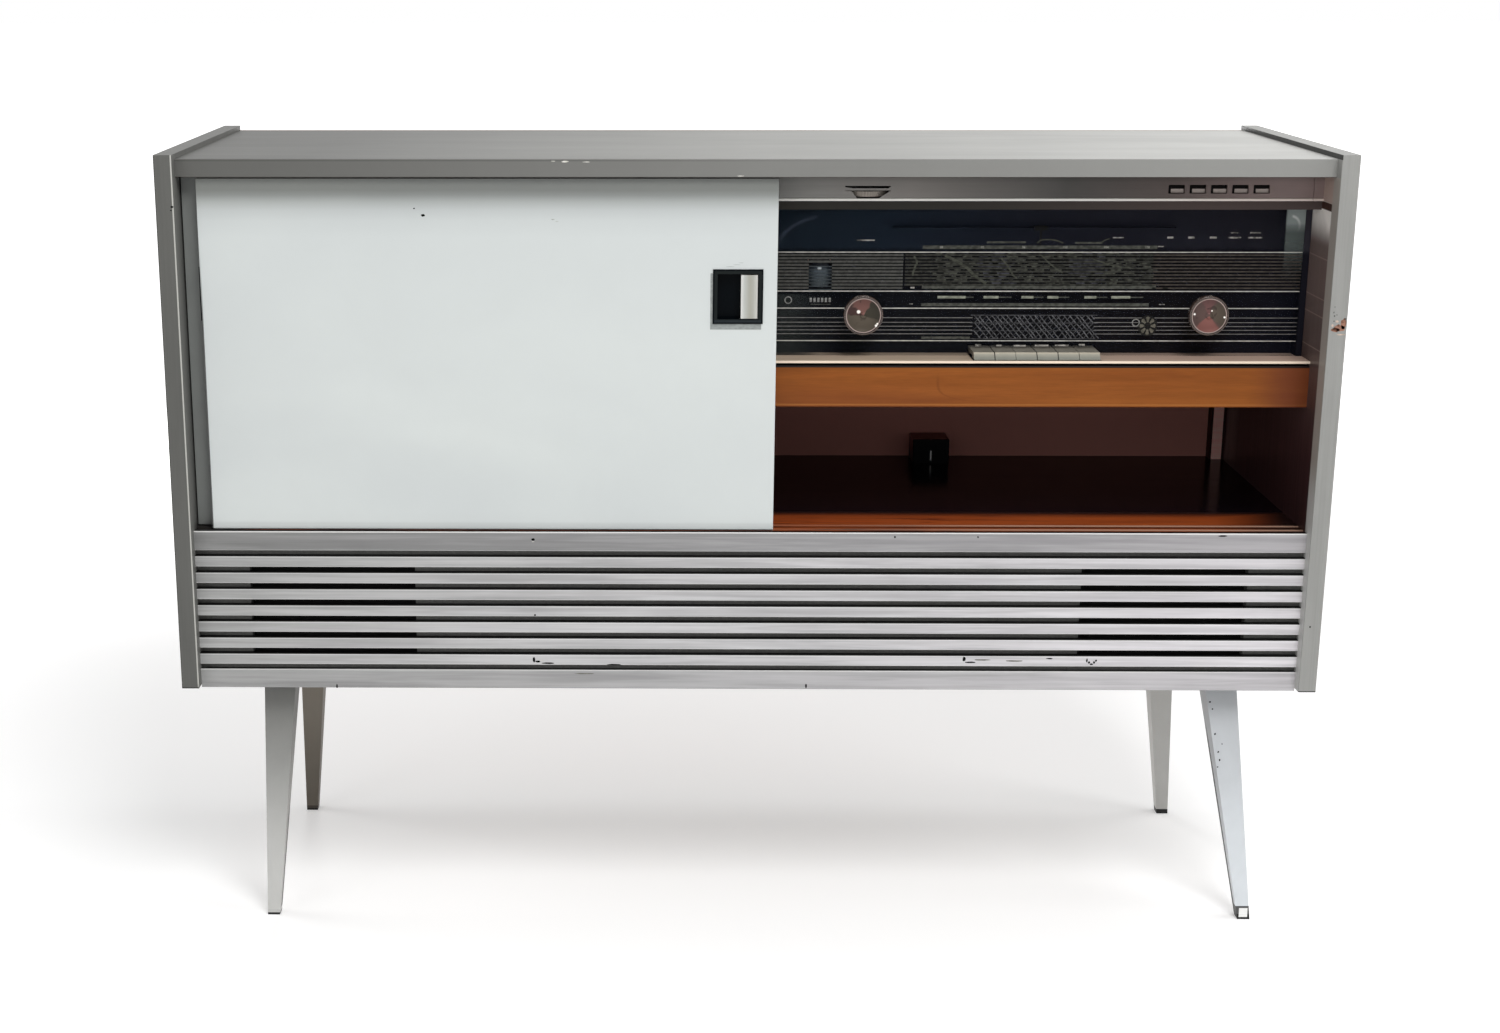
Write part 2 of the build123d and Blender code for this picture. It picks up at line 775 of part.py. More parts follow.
def door_pull(centre_x, track, grip_side):
    """Flush pull: a frame, a finger cup behind it and a grip bar at one side of the cup."""
    door_front = track - door_thickness / 2
    flange_front = door_front - pull_flange
    cup_back = door_front + door_thickness - pull_fit
    recess_half_width = cup_half_width - pull_wall
    recess_half_height = cup_half_height - pull_wall
    with BuildPart() as pull:
        with BuildSketch(upright(flange_front)):
            with Locations((centre_x, pull_centre_z)):
                Rectangle(pull_width, pull_height)
        extrude(amount=-pull_flange)
        fillet(pull.faces().sort_by(Axis.Y)[0].edges(), door_round)
        with BuildSketch(upright(door_front)):
            with Locations((centre_x, pull_centre_z)):
                Rectangle(2 * cup_half_width, 2 * cup_half_height)
        extrude(amount=door_front - cup_back)
        with BuildSketch(upright(flange_front)):
            with Locations((centre_x, pull_centre_z)):
                Rectangle(2 * recess_half_width, 2 * recess_half_height)
        extrude(amount=flange_front + pull_floor - cup_back, mode=Mode.SUBTRACT)
        grip_outer = centre_x + grip_side * (recess_half_width - grip_gap)
        grip_inner = grip_outer - grip_side * grip_width
        with BuildSketch(upright(flange_front - grip_proud)):
            rect(
                min(grip_outer, grip_inner),
                max(grip_outer, grip_inner),
                pull_centre_z - recess_half_height + grip_gap,
                pull_centre_z + recess_half_height - grip_gap,
            )
        extrude(amount=flange_front - grip_proud + pull_floor - cup_back)
    return pull.part


front_door_left = -inner_half + front_door_slack
rear_door_left = -inner_half + side_gap
front_pull_x = front_door_left + door_width - pull_inset - pull_width / 2
rear_pull_x = rear_door_left + pull_inset + pull_width / 2

with BuildPart() as front_door:
    add(door(front_door_left, front_track, front_pull_x))
front_door.part.label = "front_door"
export_step(front_door.part, "parts/front_door.step")

with BuildPart() as rear_door:
    add(door(rear_door_left, rear_track, rear_pull_x))
rear_door.part.label = "rear_door"
export_step(rear_door.part, "parts/rear_door.step")

with BuildPart() as front_door_pull:
    add(door_pull(front_pull_x, front_track, 1))
front_door_pull.part.label = "front_door_pull"
export_step(front_door_pull.part, "parts/front_door_pull.step")

with BuildPart() as rear_door_pull:
    add(door_pull(rear_pull_x, rear_track, -1))
rear_door_pull.part.label = "rear_door_pull"
export_step(rear_door_pull.part, "parts/rear_door_pull.step")

# ================================================================ tuner shelf, strip and dial
with BuildPart() as tuner_shelf:
    with BuildSketch(crosswise(partition_right)):
        rect(y_at(shelf_rail_back), y_at(carcass_back), shelf_bottom, shelf_top)
        rect(y_at(inner_setback), y_at(shelf_rail_back), lip_bottom, shelf_top)
    extrude(amount=inner_half - partition_right)
    with BuildSketch(level(shelf_top)):
        rect(key_slot_left, key_slot_right, y_at(inner_setback + key_slot_inset), y_at(chassis_front))
    extrude(amount=-key_slot_depth, mode=Mode.SUBTRACT)
tuner_shelf.part.label = "tuner_shelf"
export_step(tuner_shelf.part, "parts/tuner_shelf.step")

with BuildPart() as shelf_front_rail:
    with BuildSketch(upright(inner_setback)):
        rect(partition_right, inner_half, shelf_rail_top - shelf_rail_height, shelf_rail_top)
    extrude(amount=-shelf_rail_depth)
    fillet(shelf_front_rail.faces().sort_by(Axis.Y)[0].edges().filter_by(Axis.X), edge_round)
shelf_front_rail.part.label = "shelf_front_rail"
export_step(shelf_front_rail.part, "parts/shelf_front_rail.step")

strip_seam_x = inner_half - strip_end
with BuildPart() as control_strip:
    with BuildSketch(upright(inner_setback)):
        rect(partition_right, inner_half, strip_bottom, opening_top)
    extrude(amount=-strip_thickness)
    with BuildSketch(upright(inner_setback - strip_lip_proud)):
        rect(partition_right, inner_half, strip_bottom, strip_bottom + strip_lip_height)
    extrude(amount=-strip_lip_proud)
    fillet(control_strip.faces().sort_by(Axis.Y)[0].edges().filter_by(Axis.X), strip_lip_proud / 2)
    with BuildSketch(upright(inner_setback - strip_lip_proud)):
        rect(strip_seam_x, strip_seam_x + seam_width, strip_bottom, opening_top)
    extrude(amount=-(strip_lip_proud + seam_depth), mode=Mode.SUBTRACT)
    with BuildSketch(upright(inner_setback)):
        rect(wheel_slot_left, wheel_slot_right, wheel_slot_bottom, wheel_slot_top)
        with Locations(*[(x, window_z) for x in button_xs]):
            RectangleRounded(window_width, window_height, edge_round)
    extrude(amount=-strip_thickness, mode=Mode.SUBTRACT)
control_strip.part.label = "control_strip"
export_step(control_strip.part, "parts/control_strip.step")

with BuildPart() as dial_glass:
    with BuildSketch(upright(glass_setback)):
        rect(glass_left, glass_right, shelf_top, glass_top)
        rect(key_slot_left, key_slot_right, shelf_top, key_slot_top, mode=Mode.SUBTRACT)
        with Locations((volume_x, knob_z), (tuning_x, knob_z)):
            Circle(drive_drum_radius + spindle_hole_clearance, mode=Mode.SUBTRACT)
    extrude(amount=-glass_thickness)
dial_glass.part.label = "dial_glass"
export_step(dial_glass.part, "parts/dial_glass.step")

bar_front = glass_setback - end_bar_proud
with BuildPart() as dial_plate:
    with BuildSketch(upright(plate_front)):
        rect(glass_left - end_bar_width, glass_right + end_bar_width, shelf_top, glass_top)
        rect(key_slot_left, key_slot_right, shelf_top, key_slot_top, mode=Mode.SUBTRACT)
        with Locations((volume_x, knob_z), (tuning_x, knob_z)):
            Circle(drive_drum_radius + spindle_hole_clearance, mode=Mode.SUBTRACT)
        with Locations((eye_x, eye_bottom + eye_length / 2)):
            Rectangle(2 * (eye_radius + eye_clearance), eye_length + 2 * eye_clearance, mode=Mode.SUBTRACT)
    extrude(amount=-dial_plate_thickness)
    with BuildSketch(upright(bar_front)):
        rect(glass_left - end_bar_width, glass_left, shelf_top, header_bottom)
        rect(glass_right, glass_right + end_bar_width, shelf_top, header_bottom)
    extrude(amount=bar_front - plate_front)
    with BuildSketch(upright(plate_front)):
        rect(
            dial_centre - pointer_rail_half,
            dial_centre + pointer_rail_half,
            pointer_rail_z,
            pointer_rail_z + pointer_rail_thickness,
        )
    extrude(amount=pointer_rail_reach)
dial_plate.part.label = "dial_plate"
export_step(dial_plate.part, "parts/dial_plate.step")

pointer_x = dial_centre + pointer_offset
rail_front = plate_front - pointer_rail_reach
web_back = rail_front - slide_clearance
web_front = web_back - carriage_wall
arm_back = rail_front + carriage_reach
rail_top = pointer_rail_z + pointer_rail_thickness
carriage_bottom = pointer_rail_z - slide_clearance - carriage_wall
carriage_top = rail_top + slide_clearance + carriage_wall
with BuildPart() as dial_pointer:
    with BuildSketch(crosswise(pointer_x - carriage_length / 2)):
        rect(y_at(web_front), y_at(arm_back), carriage_bottom, carriage_top)
        rect(
            y_at(web_back),
            y_at(arm_back),
            pointer_rail_z - slide_clearance,
            rail_top + slide_clearance,
            mode=Mode.SUBTRACT,
        )
    extrude(amount=carriage_length)
    with BuildSketch(upright(web_front)):
        rect(pointer_x - pointer_width / 2, pointer_x + pointer_width / 2, pointer_bottom, carriage_top)
    extrude(amount=-pointer_thickness)
dial_pointer.part.label = "dial_pointer"
export_step(dial_pointer.part, "parts/dial_pointer.step")

with BuildPart() as magic_eye:
    with BuildSketch(level(eye_bottom)):
        with Locations((eye_x, y_at(plate_front))):
            Circle(eye_radius)
    extrude(amount=eye_length)
    fillet(magic_eye.faces().sort_by(Axis.Z)[-1].edges(), eye_radius / 2)
magic_eye.part.label = "magic_eye"
export_step(magic_eye.part, "parts/magic_eye.step")


# ================================================================ knobs and spindles
def knob(centre_x):
    """Round knob: a dished disc in front, a narrower skirt behind it and a bore for its spindle."""
    disc_back = knob_setback + knob_disc
    with BuildPart() as turned:
        with BuildSketch(upright(knob_setback)):
            with Locations((centre_x, knob_z)):
                Circle(knob_radius)
        extrude(amount=-knob_disc)
        fillet(turned.edges().filter_by(GeomType.CIRCLE), edge_round)
        with BuildSketch(upright(disc_back)):
            with Locations((centre_x, knob_z)):
                Circle(knob_skirt_radius)
        extrude(amount=knob_disc - knob_depth)
        with BuildSketch(upright(knob_setback)):
            with Locations((centre_x, knob_z)):
                Circle(knob_radius - knob_rim)
        extrude(amount=-knob_dish, mode=Mode.SUBTRACT)
        with BuildSketch(upright(disc_back)):
            with Locations((centre_x, knob_z)):
                Circle(spindle_radius + press_clearance)
        extrude(amount=knob_disc - knob_depth, mode=Mode.SUBTRACT)
    return turned.part


spindle_front = knob_setback + knob_disc + slide_clearance
spindle_back = chassis_front + sheet + bush_length + spindle_tail
with BuildPart() as volume_knob:
    add(knob(volume_x))
volume_knob.part.label = "volume_knob"
export_step(volume_knob.part, "parts/volume_knob.step")

with BuildPart() as tuning_knob:
    add(knob(tuning_x))
tuning_knob.part.label = "tuning_knob"
export_step(tuning_knob.part, "parts/tuning_knob.step")

with BuildPart() as volume_spindle:
    with BuildSketch(upright(spindle_front)):
        with Locations((volume_x, knob_z)):
            Circle(spindle_radius)
    extrude(amount=spindle_front - spindle_back)
volume_spindle.part.label = "volume_spindle"
export_step(volume_spindle.part, "parts/volume_spindle.step")

drum_front = glass_back + (plate_gap - drive_drum_length) / 2
with BuildPart() as tuning_spindle:
    with BuildSketch(upright(spindle_front)):
        with Locations((tuning_x, knob_z)):
            Circle(spindle_radius)
    extrude(amount=spindle_front - spindle_back)
    with BuildSketch(upright(drum_front)):
        with Locations((tuning_x, knob_z)):
            Circle(drive_drum_radius)
    extrude(amount=-drive_drum_length)
tuning_spindle.part.label = "tuning_spindle"
export_step(tuning_spindle.part, "parts/tuning_spindle.step")

# ================================================================ balance wheel and push buttons
wheel_bottom = wheel_slot_bottom + (wheel_slot_height - wheel_height) / 2
with BuildPart() as balance_wheel:
    with BuildSketch(level(wheel_bottom)):
        with Locations((wheel_x, wheel_y)):
            Circle(wheel_radius)
            with PolarLocations(wheel_radius, wheel_teeth):
                Circle(tooth_radius, mode=Mode.SUBTRACT)
    extrude(amount=wheel_height)
    with BuildSketch(level(wheel_slot_bottom - wheel_pin_length)):
        with Locations((wheel_x, wheel_y)):
            Circle(wheel_pin_radius)
    extrude(amount=wheel_slot_height + 2 * wheel_pin_length)
balance_wheel.part.label = "balance_wheel"
export_step(balance_wheel.part, "parts/balance_wheel.step")

for i, button_x in enumerate(button_xs):
    button_front = inner_setback + button_sink
    flange_front = glass_setback + slide_clearance
    with BuildPart() as button:
        with BuildSketch(upright(button_front)):
            with Locations((button_x, window_z)):
                Rectangle(window_width - 2 * button_clearance, window_height - 2 * button_clearance)
        extrude(amount=button_front - flange_front)
        fillet(button.faces().sort_by(Axis.Y)[0].edges(), edge_round)
        with BuildSketch(upright(flange_front)):
            with Locations((button_x, window_z)):
                Rectangle(window_width + 2 * button_flange, window_height + 2 * button_flange)
        extrude(amount=-button_flange_thickness)
    button.part.label = f"button_{i + 1}"
    export_step(button.part, f"parts/button_{i + 1}.step")

# ================================================================ piano keys
for i in range(key_count):
    key_left = bay_centre + (i - key_count / 2) * key_pitch + key_gap / 2
    pivot = (y_at(key_pivot_setback), key_pivot_z)
    with BuildPart() as key:
        with BuildSketch(crosswise(key_left)):
            with BuildLine():
                Polyline(
                    (y_at(key_front), key_bottom),
                    (y_at(key_front + key_nose), key_top),
                    (y_at(key_pivot_setback), key_top),
                    (y_at(key_pivot_setback), key_top - key_tail),
                    (y_at(key_front + key_block), key_top - key_tail),
                    (y_at(key_front + key_block), key_bottom),
                    close=True,
                )
            make_face()
            with Locations(pivot):
                Circle(key_hub_radius)
                Circle(key_rod_radius + running_clearance, mode=Mode.SUBTRACT)
        extrude(amount=key_pitch - key_gap)
    key.part.label = f"key_{i + 1}"
    export_step(key.part, f"parts/key_{i + 1}.step")

# ================================================================ tuner chassis and what stands on it
chassis_left = bay_centre - chassis_width / 2
chassis_right = bay_centre + chassis_width / 2
cheek_xs = [key_slot_left - cheek_width, key_slot_right]
with BuildPart() as tuner_chassis:
    with BuildSketch(level(shelf_top)):
        rect(chassis_left, chassis_right, y_at(chassis_front), y_at(chassis_back))
    extrude(amount=chassis_height)
    with BuildSketch(level(shelf_top)):
        rect(
            chassis_left + sheet,
            chassis_right - sheet,
            y_at(chassis_front + sheet),
            y_at(chassis_back - sheet),
        )
    extrude(amount=chassis_height - sheet, mode=Mode.SUBTRACT)
    with BuildSketch(upright(chassis_front)):
        rect(key_slot_left, key_slot_right, shelf_top, key_slot_top)
    extrude(amount=-sheet, mode=Mode.SUBTRACT)
    with BuildSketch(upright(chassis_front + sheet)):
        with Locations((volume_x, knob_z), (tuning_x, knob_z)):
            Circle(bush_radius)
    extrude(amount=-bush_length)
    for cheek_x in cheek_xs:
        with BuildSketch(crosswise(cheek_x)):
            rect(
                y_at(key_pivot_setback - cheek_depth / 2),
                y_at(key_pivot_setback + cheek_depth / 2),
                key_pivot_z - key_rod_radius - key_slot_margin,
                chassis_top - sheet,
            )
        extrude(amount=cheek_width)
    with BuildSketch(crosswise(cheek_xs[0])):
        with Locations((y_at(key_pivot_setback), key_pivot_z)):
            Circle(key_rod_radius)
    extrude(amount=cheek_xs[1] + cheek_width - cheek_xs[0])
    with BuildSketch(upright(chassis_front)):
        with Locations((volume_x, knob_z), (tuning_x, knob_z)):
            Circle(spindle_radius + running_clearance)
    extrude(amount=-(sheet + bush_length), mode=Mode.SUBTRACT)
tuner_chassis.part.label = "tuner_chassis"
export_step(tuner_chassis.part, "parts/tuner_chassis.step")

transformer_x = chassis_right - transformer_inset
rear_row_y = y_at(chassis_back - rear_row_inset)
with BuildPart() as mains_transformer:
    with BuildSketch(level(chassis_top)):
        with Locations((transformer_x, rear_row_y)):
            Rectangle(core_width, core_depth)
    extrude(amount=core_height)
    with BuildSketch(level(chassis_top + (core_height - coil_height) / 2)):
        with Locations((transformer_x, rear_row_y)):
            Rectangle(coil_width, coil_depth)
    extrude(amount=coil_height)
    fillet(mains_transformer.edges().filter_by(Axis.Z), edge_round)
mains_transformer.part.label = "mains_transformer"
export_step(mains_transformer.part, "parts/mains_transformer.step")

capacitor_point = (chassis_left + capacitor_inset, y_at(chassis_front + capacitor_setback))
with BuildPart() as tuning_capacitor:
    with BuildSketch(level(chassis_top)):
        with Locations(capacitor_point):
            Rectangle(capacitor_width, capacitor_depth)
    extrude(amount=capacitor_height)
    with BuildSketch(level(chassis_top + capacitor_wall)):
        with Locations(capacitor_point):
            Rectangle(capacitor_width, capacitor_depth - 2 * capacitor_wall)
    extrude(amount=capacitor_height - capacitor_wall, mode=Mode.SUBTRACT)
    with BuildSketch(level(chassis_top + capacitor_wall)):
        with Locations(capacitor_point):
            with GridLocations(1, capacitor_depth / (vane_count + 1), 1, vane_count):
                Rectangle(capacitor_width - 2 * capacitor_wall, vane_thickness)
    extrude(amount=capacitor_height - 2 * capacitor_wall)
tuning_capacitor.part.label = "tuning_capacitor"
export_step(tuning_capacitor.part, "parts/tuning_capacitor.step")

first_valve_x = transformer_x - core_width / 2 - valve_pitch * valve_count
valve_points = [(first_valve_x + i * valve_pitch, rear_row_y) for i in range(valve_count)]
with BuildPart() as radio_valves:
    with BuildSketch(level(chassis_top)):
        with Locations(*valve_points):
            Circle(valve_socket_radius)
    extrude(amount=valve_socket_height)
    with BuildSketch(level(chassis_top + valve_socket_height)):
        with Locations(*valve_points):
            Circle(valve_radius)
    extrude(amount=valve_height)
    fillet(radio_valves.faces().group_by(Axis.Z)[-1].edges(), valve_radius / 2)
radio_valves.part.label = "radio_valves"
export_step(radio_valves.part, "parts/radio_valves.step")

# ================================================================ sockets
box_left = partition_right + box_inset
box_setback = carcass_back - box_depth
with BuildPart() as socket_box:
    with BuildSketch(level(floor_level)):
        rect(box_left, box_left + box_width, y_at(box_setback), y_at(carcass_back))
    extrude(amount=box_height)
    fillet(socket_box.edges().filter_by(Axis.Z), box_round)
    fillet(socket_box.faces().sort_by(Axis.Z)[-1].edges(), edge_round)
    with BuildSketch(upright(box_setback)):
        with Locations((box_left + box_width / 2, floor_level + box_slot_raise)):
            SlotOverall(box_slot_height, box_slot_width, rotation=90)
    extrude(amount=-box_slot_depth, mode=Mode.SUBTRACT)
socket_box.part.label = "socket_box"
export_step(socket_box.part, "parts/socket_box.step")

plate_back_setback = carcass_back + back_thickness
socket_left = socket_plate_x - (socket_count - 1) / 2 * socket_pitch - socket_pitch / 2
socket_points = [(socket_left + i * socket_pitch, socket_plate_z) for i in range(socket_count)]
gland_point = (socket_left + socket_count * socket_pitch, socket_plate_z)
with BuildPart() as rear_socket_plate:
    with BuildSketch(upright(plate_back_setback)):
        with Locations((socket_plate_x, socket_plate_z)):
            Rectangle(socket_plate_width, socket_plate_height)
    extrude(amount=-back_recess)
    with BuildSketch(upright(plate_back_setback)):
        with Locations(*socket_points):
            Circle(socket_radius + socket_wall)
        with Locations(gland_point):
            Circle(gland_radius)
    extrude(amount=socket_depth)
    with BuildSketch(upright(depth)):
        with Locations(*socket_points):
            Circle(socket_radius)
    extrude(amount=socket_depth, mode=Mode.SUBTRACT)
    with BuildSketch(upright(depth)):
        with Locations(gland_point):
            Circle(gland_bore)
    extrude(amount=socket_depth + back_recess, mode=Mode.SUBTRACT)
rear_socket_plate.part.label = "rear_socket_plate"
export_step(rear_socket_plate.part, "parts/rear_socket_plate.step")

# ================================================================ record deck
with BuildPart() as deck_board:
    with BuildSketch(level(deck_board_bottom)):
        rect(-inner_half, partition_left, y_at(inner_setback + deck_board_inset), y_at(carcass_back))
        with Locations((deck_x, deck_y)):
            Rectangle(
                deck_width - 2 * deck_cutout_margin,
                deck_depth - 2 * deck_cutout_margin,
                mode=Mode.SUBTRACT,
            )
    extrude(amount=deck_board_thickness)
deck_board.part.label = "deck_board"
export_step(deck_board.part, "parts/deck_board.step")

with BuildPart() as deck_plate:
    with BuildSketch(level(deck_board_top)):
        with Locations((deck_x, deck_y)):
            RectangleRounded(deck_width, deck_depth, deck_corner)
    extrude(amount=deck_thickness)
    fillet(deck_plate.faces().sort_by(Axis.Z)[-1].edges(), edge_round)
    with BuildSketch(level(deck_board_top)):
        with Locations((platter_x, deck_y)):
            Circle(platter_boss_radius)
    extrude(amount=-platter_boss_length)
    with BuildSketch(level(deck_level)):
        with Locations((platter_x, deck_y)):
            Circle(platter_shaft_radius + running_clearance)
        with Locations((lever_x, lever_y)):
            Circle(lever_pin_radius + running_clearance)
    extrude(amount=-(deck_thickness + platter_boss_length), mode=Mode.SUBTRACT)
deck_plate.part.label = "deck_plate"
export_step(deck_plate.part, "parts/deck_plate.step")

motor_point = (platter_x + motor_shift_x, deck_y + motor_shift_y)
with BuildPart() as deck_motor:
    with BuildSketch(level(deck_board_top - motor_lug_thickness)):
        with Locations(motor_point):
            SlotOverall(2 * (motor_radius + motor_lug), 2 * motor_lug)
            Circle(motor_radius)
    extrude(amount=motor_lug_thickness)
    with BuildSketch(level(deck_board_top - motor_lug_thickness)):
        with Locations(motor_point):
            Circle(motor_radius)
    extrude(amount=-motor_height)
    fillet(deck_motor.faces().sort_by(Axis.Z)[0].edges(), motor_lug_thickness)
deck_motor.part.label = "deck_motor"
export_step(deck_motor.part, "parts/deck_motor.step")

with BuildPart() as platter:
    with BuildSketch(level(platter_bottom)):
        with Locations((platter_x, deck_y)):
            Circle(platter_radius)
    extrude(amount=platter_thickness)
    fillet(platter.faces().sort_by(Axis.Z)[-1].edges(), edge_round)
    with BuildSketch(level(platter_bottom)):
        with Locations((platter_x, deck_y)):
            Circle(platter_radius - platter_rim)
            Circle(platter_boss_radius, mode=Mode.SUBTRACT)
    extrude(amount=platter_thickness - platter_recess, mode=Mode.SUBTRACT)
    with BuildSketch(level(platter_bottom)):
        with Locations((platter_x, deck_y)):
            Circle(platter_shaft_radius)
    extrude(amount=-(platter_gap + deck_thickness + platter_boss_length))
    with BuildSketch(level(platter_top)):
        with Locations((platter_x, deck_y)):
            Circle(record_pin_radius)
    extrude(amount=record_pin_height)
    fillet(platter.faces().sort_by(Axis.Z)[-1].edges(), record_pin_radius / 2)
platter.part.label = "platter"
export_step(platter.part, "parts/platter.step")

base_top = deck_level + arm_base_height
rest_y = arm_pivot_y - rest_reach
rest_top = arm_height - arm_radius - slide_clearance
with BuildPart() as tonearm_base:
    with BuildSketch(level(deck_level)):
        with Locations((arm_pivot_x, arm_pivot_y)):
            Circle(arm_base_radius)
    extrude(amount=arm_base_height)
    fillet(tonearm_base.faces().sort_by(Axis.Z)[-1].edges(), edge_round)
    with BuildSketch(level(base_top)):
        with Locations((arm_pivot_x, arm_pivot_y)):
            Circle(arm_shaft_radius + running_clearance)
    extrude(amount=-arm_base_height, mode=Mode.SUBTRACT)
    with BuildSketch(Plane.XZ.offset(-(rest_y - rest_depth / 2))):
        rect(arm_pivot_x - rest_width / 2, arm_pivot_x + rest_width / 2, deck_level, rest_top)
        rect(
            arm_pivot_x + arm_radius + yoke_clearance,
            arm_pivot_x + arm_radius + yoke_clearance + rest_lip,
            rest_top,
            arm_height + arm_radius,
        )
    extrude(amount=-rest_depth)
tonearm_base.part.label = "tonearm_base"
export_step(tonearm_base.part, "parts/tonearm_base.step")

yoke_bottom = base_top + arm_shaft_float
yoke_half = yoke_width / 2
with BuildPart() as tonearm_pivot:
    with BuildSketch(level(yoke_bottom)):
        with Locations((arm_pivot_x, arm_pivot_y)):
            Circle(arm_shaft_radius)
    extrude(amount=-arm_base_height)
    with BuildSketch(level(yoke_bottom)):
        with Locations((arm_pivot_x, arm_pivot_y)):
            Rectangle(yoke_width, yoke_depth)
    extrude(amount=yoke_base)
    with BuildSketch(level(yoke_bottom + yoke_base)):
        for side in (-1, 1):
            with Locations((arm_pivot_x + side * (yoke_half - yoke_wall / 2), arm_pivot_y)):
                Rectangle(yoke_wall, yoke_depth)
    extrude(amount=arm_height + arm_hub_radius - yoke_bottom - yoke_base)
    with BuildSketch(crosswise(arm_pivot_x - yoke_half)):
        with Locations((arm_pivot_y, arm_height)):
            Circle(arm_pin_radius)
    extrude(amount=yoke_width)
tonearm_pivot.part.label = "tonearm_pivot"
export_step(tonearm_pivot.part, "parts/tonearm_pivot.step")

hub_half = yoke_half - yoke_wall - yoke_clearance
stylus_y = arm_pivot_y - arm_length
shell_front = stylus_y - shell_nose
shell_back = shell_front + shell_length
shell_bottom = arm_height - shell_height / 2
cartridge_bottom = record_level + stylus_drop
with BuildPart() as tonearm:
    with BuildSketch(Plane.XZ.offset(-(arm_pivot_y + arm_tail))):
        with Locations((arm_pivot_x, arm_height)):
            Circle(arm_radius)
    extrude(amount=arm_tail + arm_pivot_y - shell_back + arm_radius)
    with BuildSketch(Plane.XZ.offset(-(arm_pivot_y + arm_tail))):
        with Locations((arm_pivot_x, arm_height)):
            Circle(weight_radius)
    extrude(amount=weight_length)
    fillet(tonearm.edges().filter_by(GeomType.CIRCLE).filter_by(lambda e: e.radius > arm_radius), edge_round)
    with BuildSketch(crosswise(arm_pivot_x - hub_half)):
        with Locations((arm_pivot_y, arm_height)):
            Circle(arm_hub_radius)
    extrude(amount=2 * hub_half)
    with BuildSketch(level(shell_bottom)):
        rect(arm_pivot_x - shell_width / 2, arm_pivot_x + shell_width / 2, shell_front, shell_back)
    extrude(amount=shell_height)
    with BuildSketch(level(cartridge_bottom)):
        with Locations((arm_pivot_x, stylus_y + cartridge_length / 2 - cartridge_nose)):
            Rectangle(cartridge_width, cartridge_length)
    extrude(amount=shell_bottom - cartridge_bottom)
    with BuildSketch(level(record_level)):
        with Locations((arm_pivot_x, stylus_y)):
            Circle(stylus_radius)
    extrude(amount=stylus_drop)
    with BuildSketch(crosswise(arm_pivot_x - hub_half)):
        with Locations((arm_pivot_y, arm_height)):
            Circle(arm_pin_radius + running_clearance)
    extrude(amount=2 * hub_half, mode=Mode.SUBTRACT)
tonearm.part.label = "tonearm"
export_step(tonearm.part, "parts/tonearm.step")

lever_bottom = deck_level + slide_clearance
with BuildPart() as speed_lever:
    with BuildSketch(level(lever_bottom)):
        with Locations((lever_x, lever_y)):
            Circle(lever_hub_radius)
        with Locations((lever_x, lever_y - lever_length / 2)):
            Rectangle(2 * lever_knob_radius, lever_length)
        with Locations((lever_x, lever_y - lever_length)):
            Circle(lever_knob_radius)
    extrude(amount=lever_height)
    fillet(speed_lever.faces().sort_by(Axis.Z)[-1].edges(), edge_round)
    with BuildSketch(level(lever_bottom + lever_height)):
        with Locations((lever_x, lever_y - lever_length)):
            Circle(lever_knob_radius - edge_round)
    extrude(amount=lever_knob_height)
    with BuildSketch(level(lever_bottom)):
        with Locations((lever_x, lever_y)):
            Circle(lever_pin_radius)
    extrude(amount=-(deck_thickness + slide_clearance))
speed_lever.part.label = "speed_lever"
export_step(speed_lever.part, "parts/speed_lever.step")
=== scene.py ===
import math
import random

import bmesh
import bpy
from mathutils import Matrix, Vector


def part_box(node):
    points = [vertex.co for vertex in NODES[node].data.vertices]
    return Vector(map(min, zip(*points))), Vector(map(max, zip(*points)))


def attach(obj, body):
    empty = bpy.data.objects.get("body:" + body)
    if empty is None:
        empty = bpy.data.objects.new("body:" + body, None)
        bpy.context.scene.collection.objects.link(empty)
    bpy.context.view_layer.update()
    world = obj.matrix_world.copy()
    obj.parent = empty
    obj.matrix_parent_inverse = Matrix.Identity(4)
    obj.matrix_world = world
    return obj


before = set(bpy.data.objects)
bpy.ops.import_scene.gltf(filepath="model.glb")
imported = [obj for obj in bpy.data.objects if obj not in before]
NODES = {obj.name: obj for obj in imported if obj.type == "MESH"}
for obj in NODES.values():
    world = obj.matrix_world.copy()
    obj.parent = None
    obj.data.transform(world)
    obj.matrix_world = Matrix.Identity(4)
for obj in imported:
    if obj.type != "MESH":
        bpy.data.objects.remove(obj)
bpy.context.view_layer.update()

# Materials for the nodes of the CAD model, thin printed, lacquered and worn pieces that ride on its bodies,
# the camera of the photo, and the lamps. Lengths are in metres unless a name or a comment says mm.
MM = 0.001
TURN = 2 * math.pi


# ---------------------------------------------------------------- colours and node materials
def shader_colour(colour):
    """Red, green and blue as on a screen, 0 to 255, turned into the linear values that shaders use.

    Four numbers are linear values already.
    """
    def linear(c):
        c /= 255
        return c / 12.92 if c <= 0.04045 else ((c + 0.055) / 1.055) ** 2.4
    return colour if len(colour) == 4 else (*map(linear, colour), 1.0)


def operator(name, swapped=False):
    """A method that joins a field and another value, or a plain number, by a Math node."""
    def combine(self, other=None):
        a, b = (other, self) if swapped else (self, other)
        return self.nodes.math(name, a, b)
    return combine


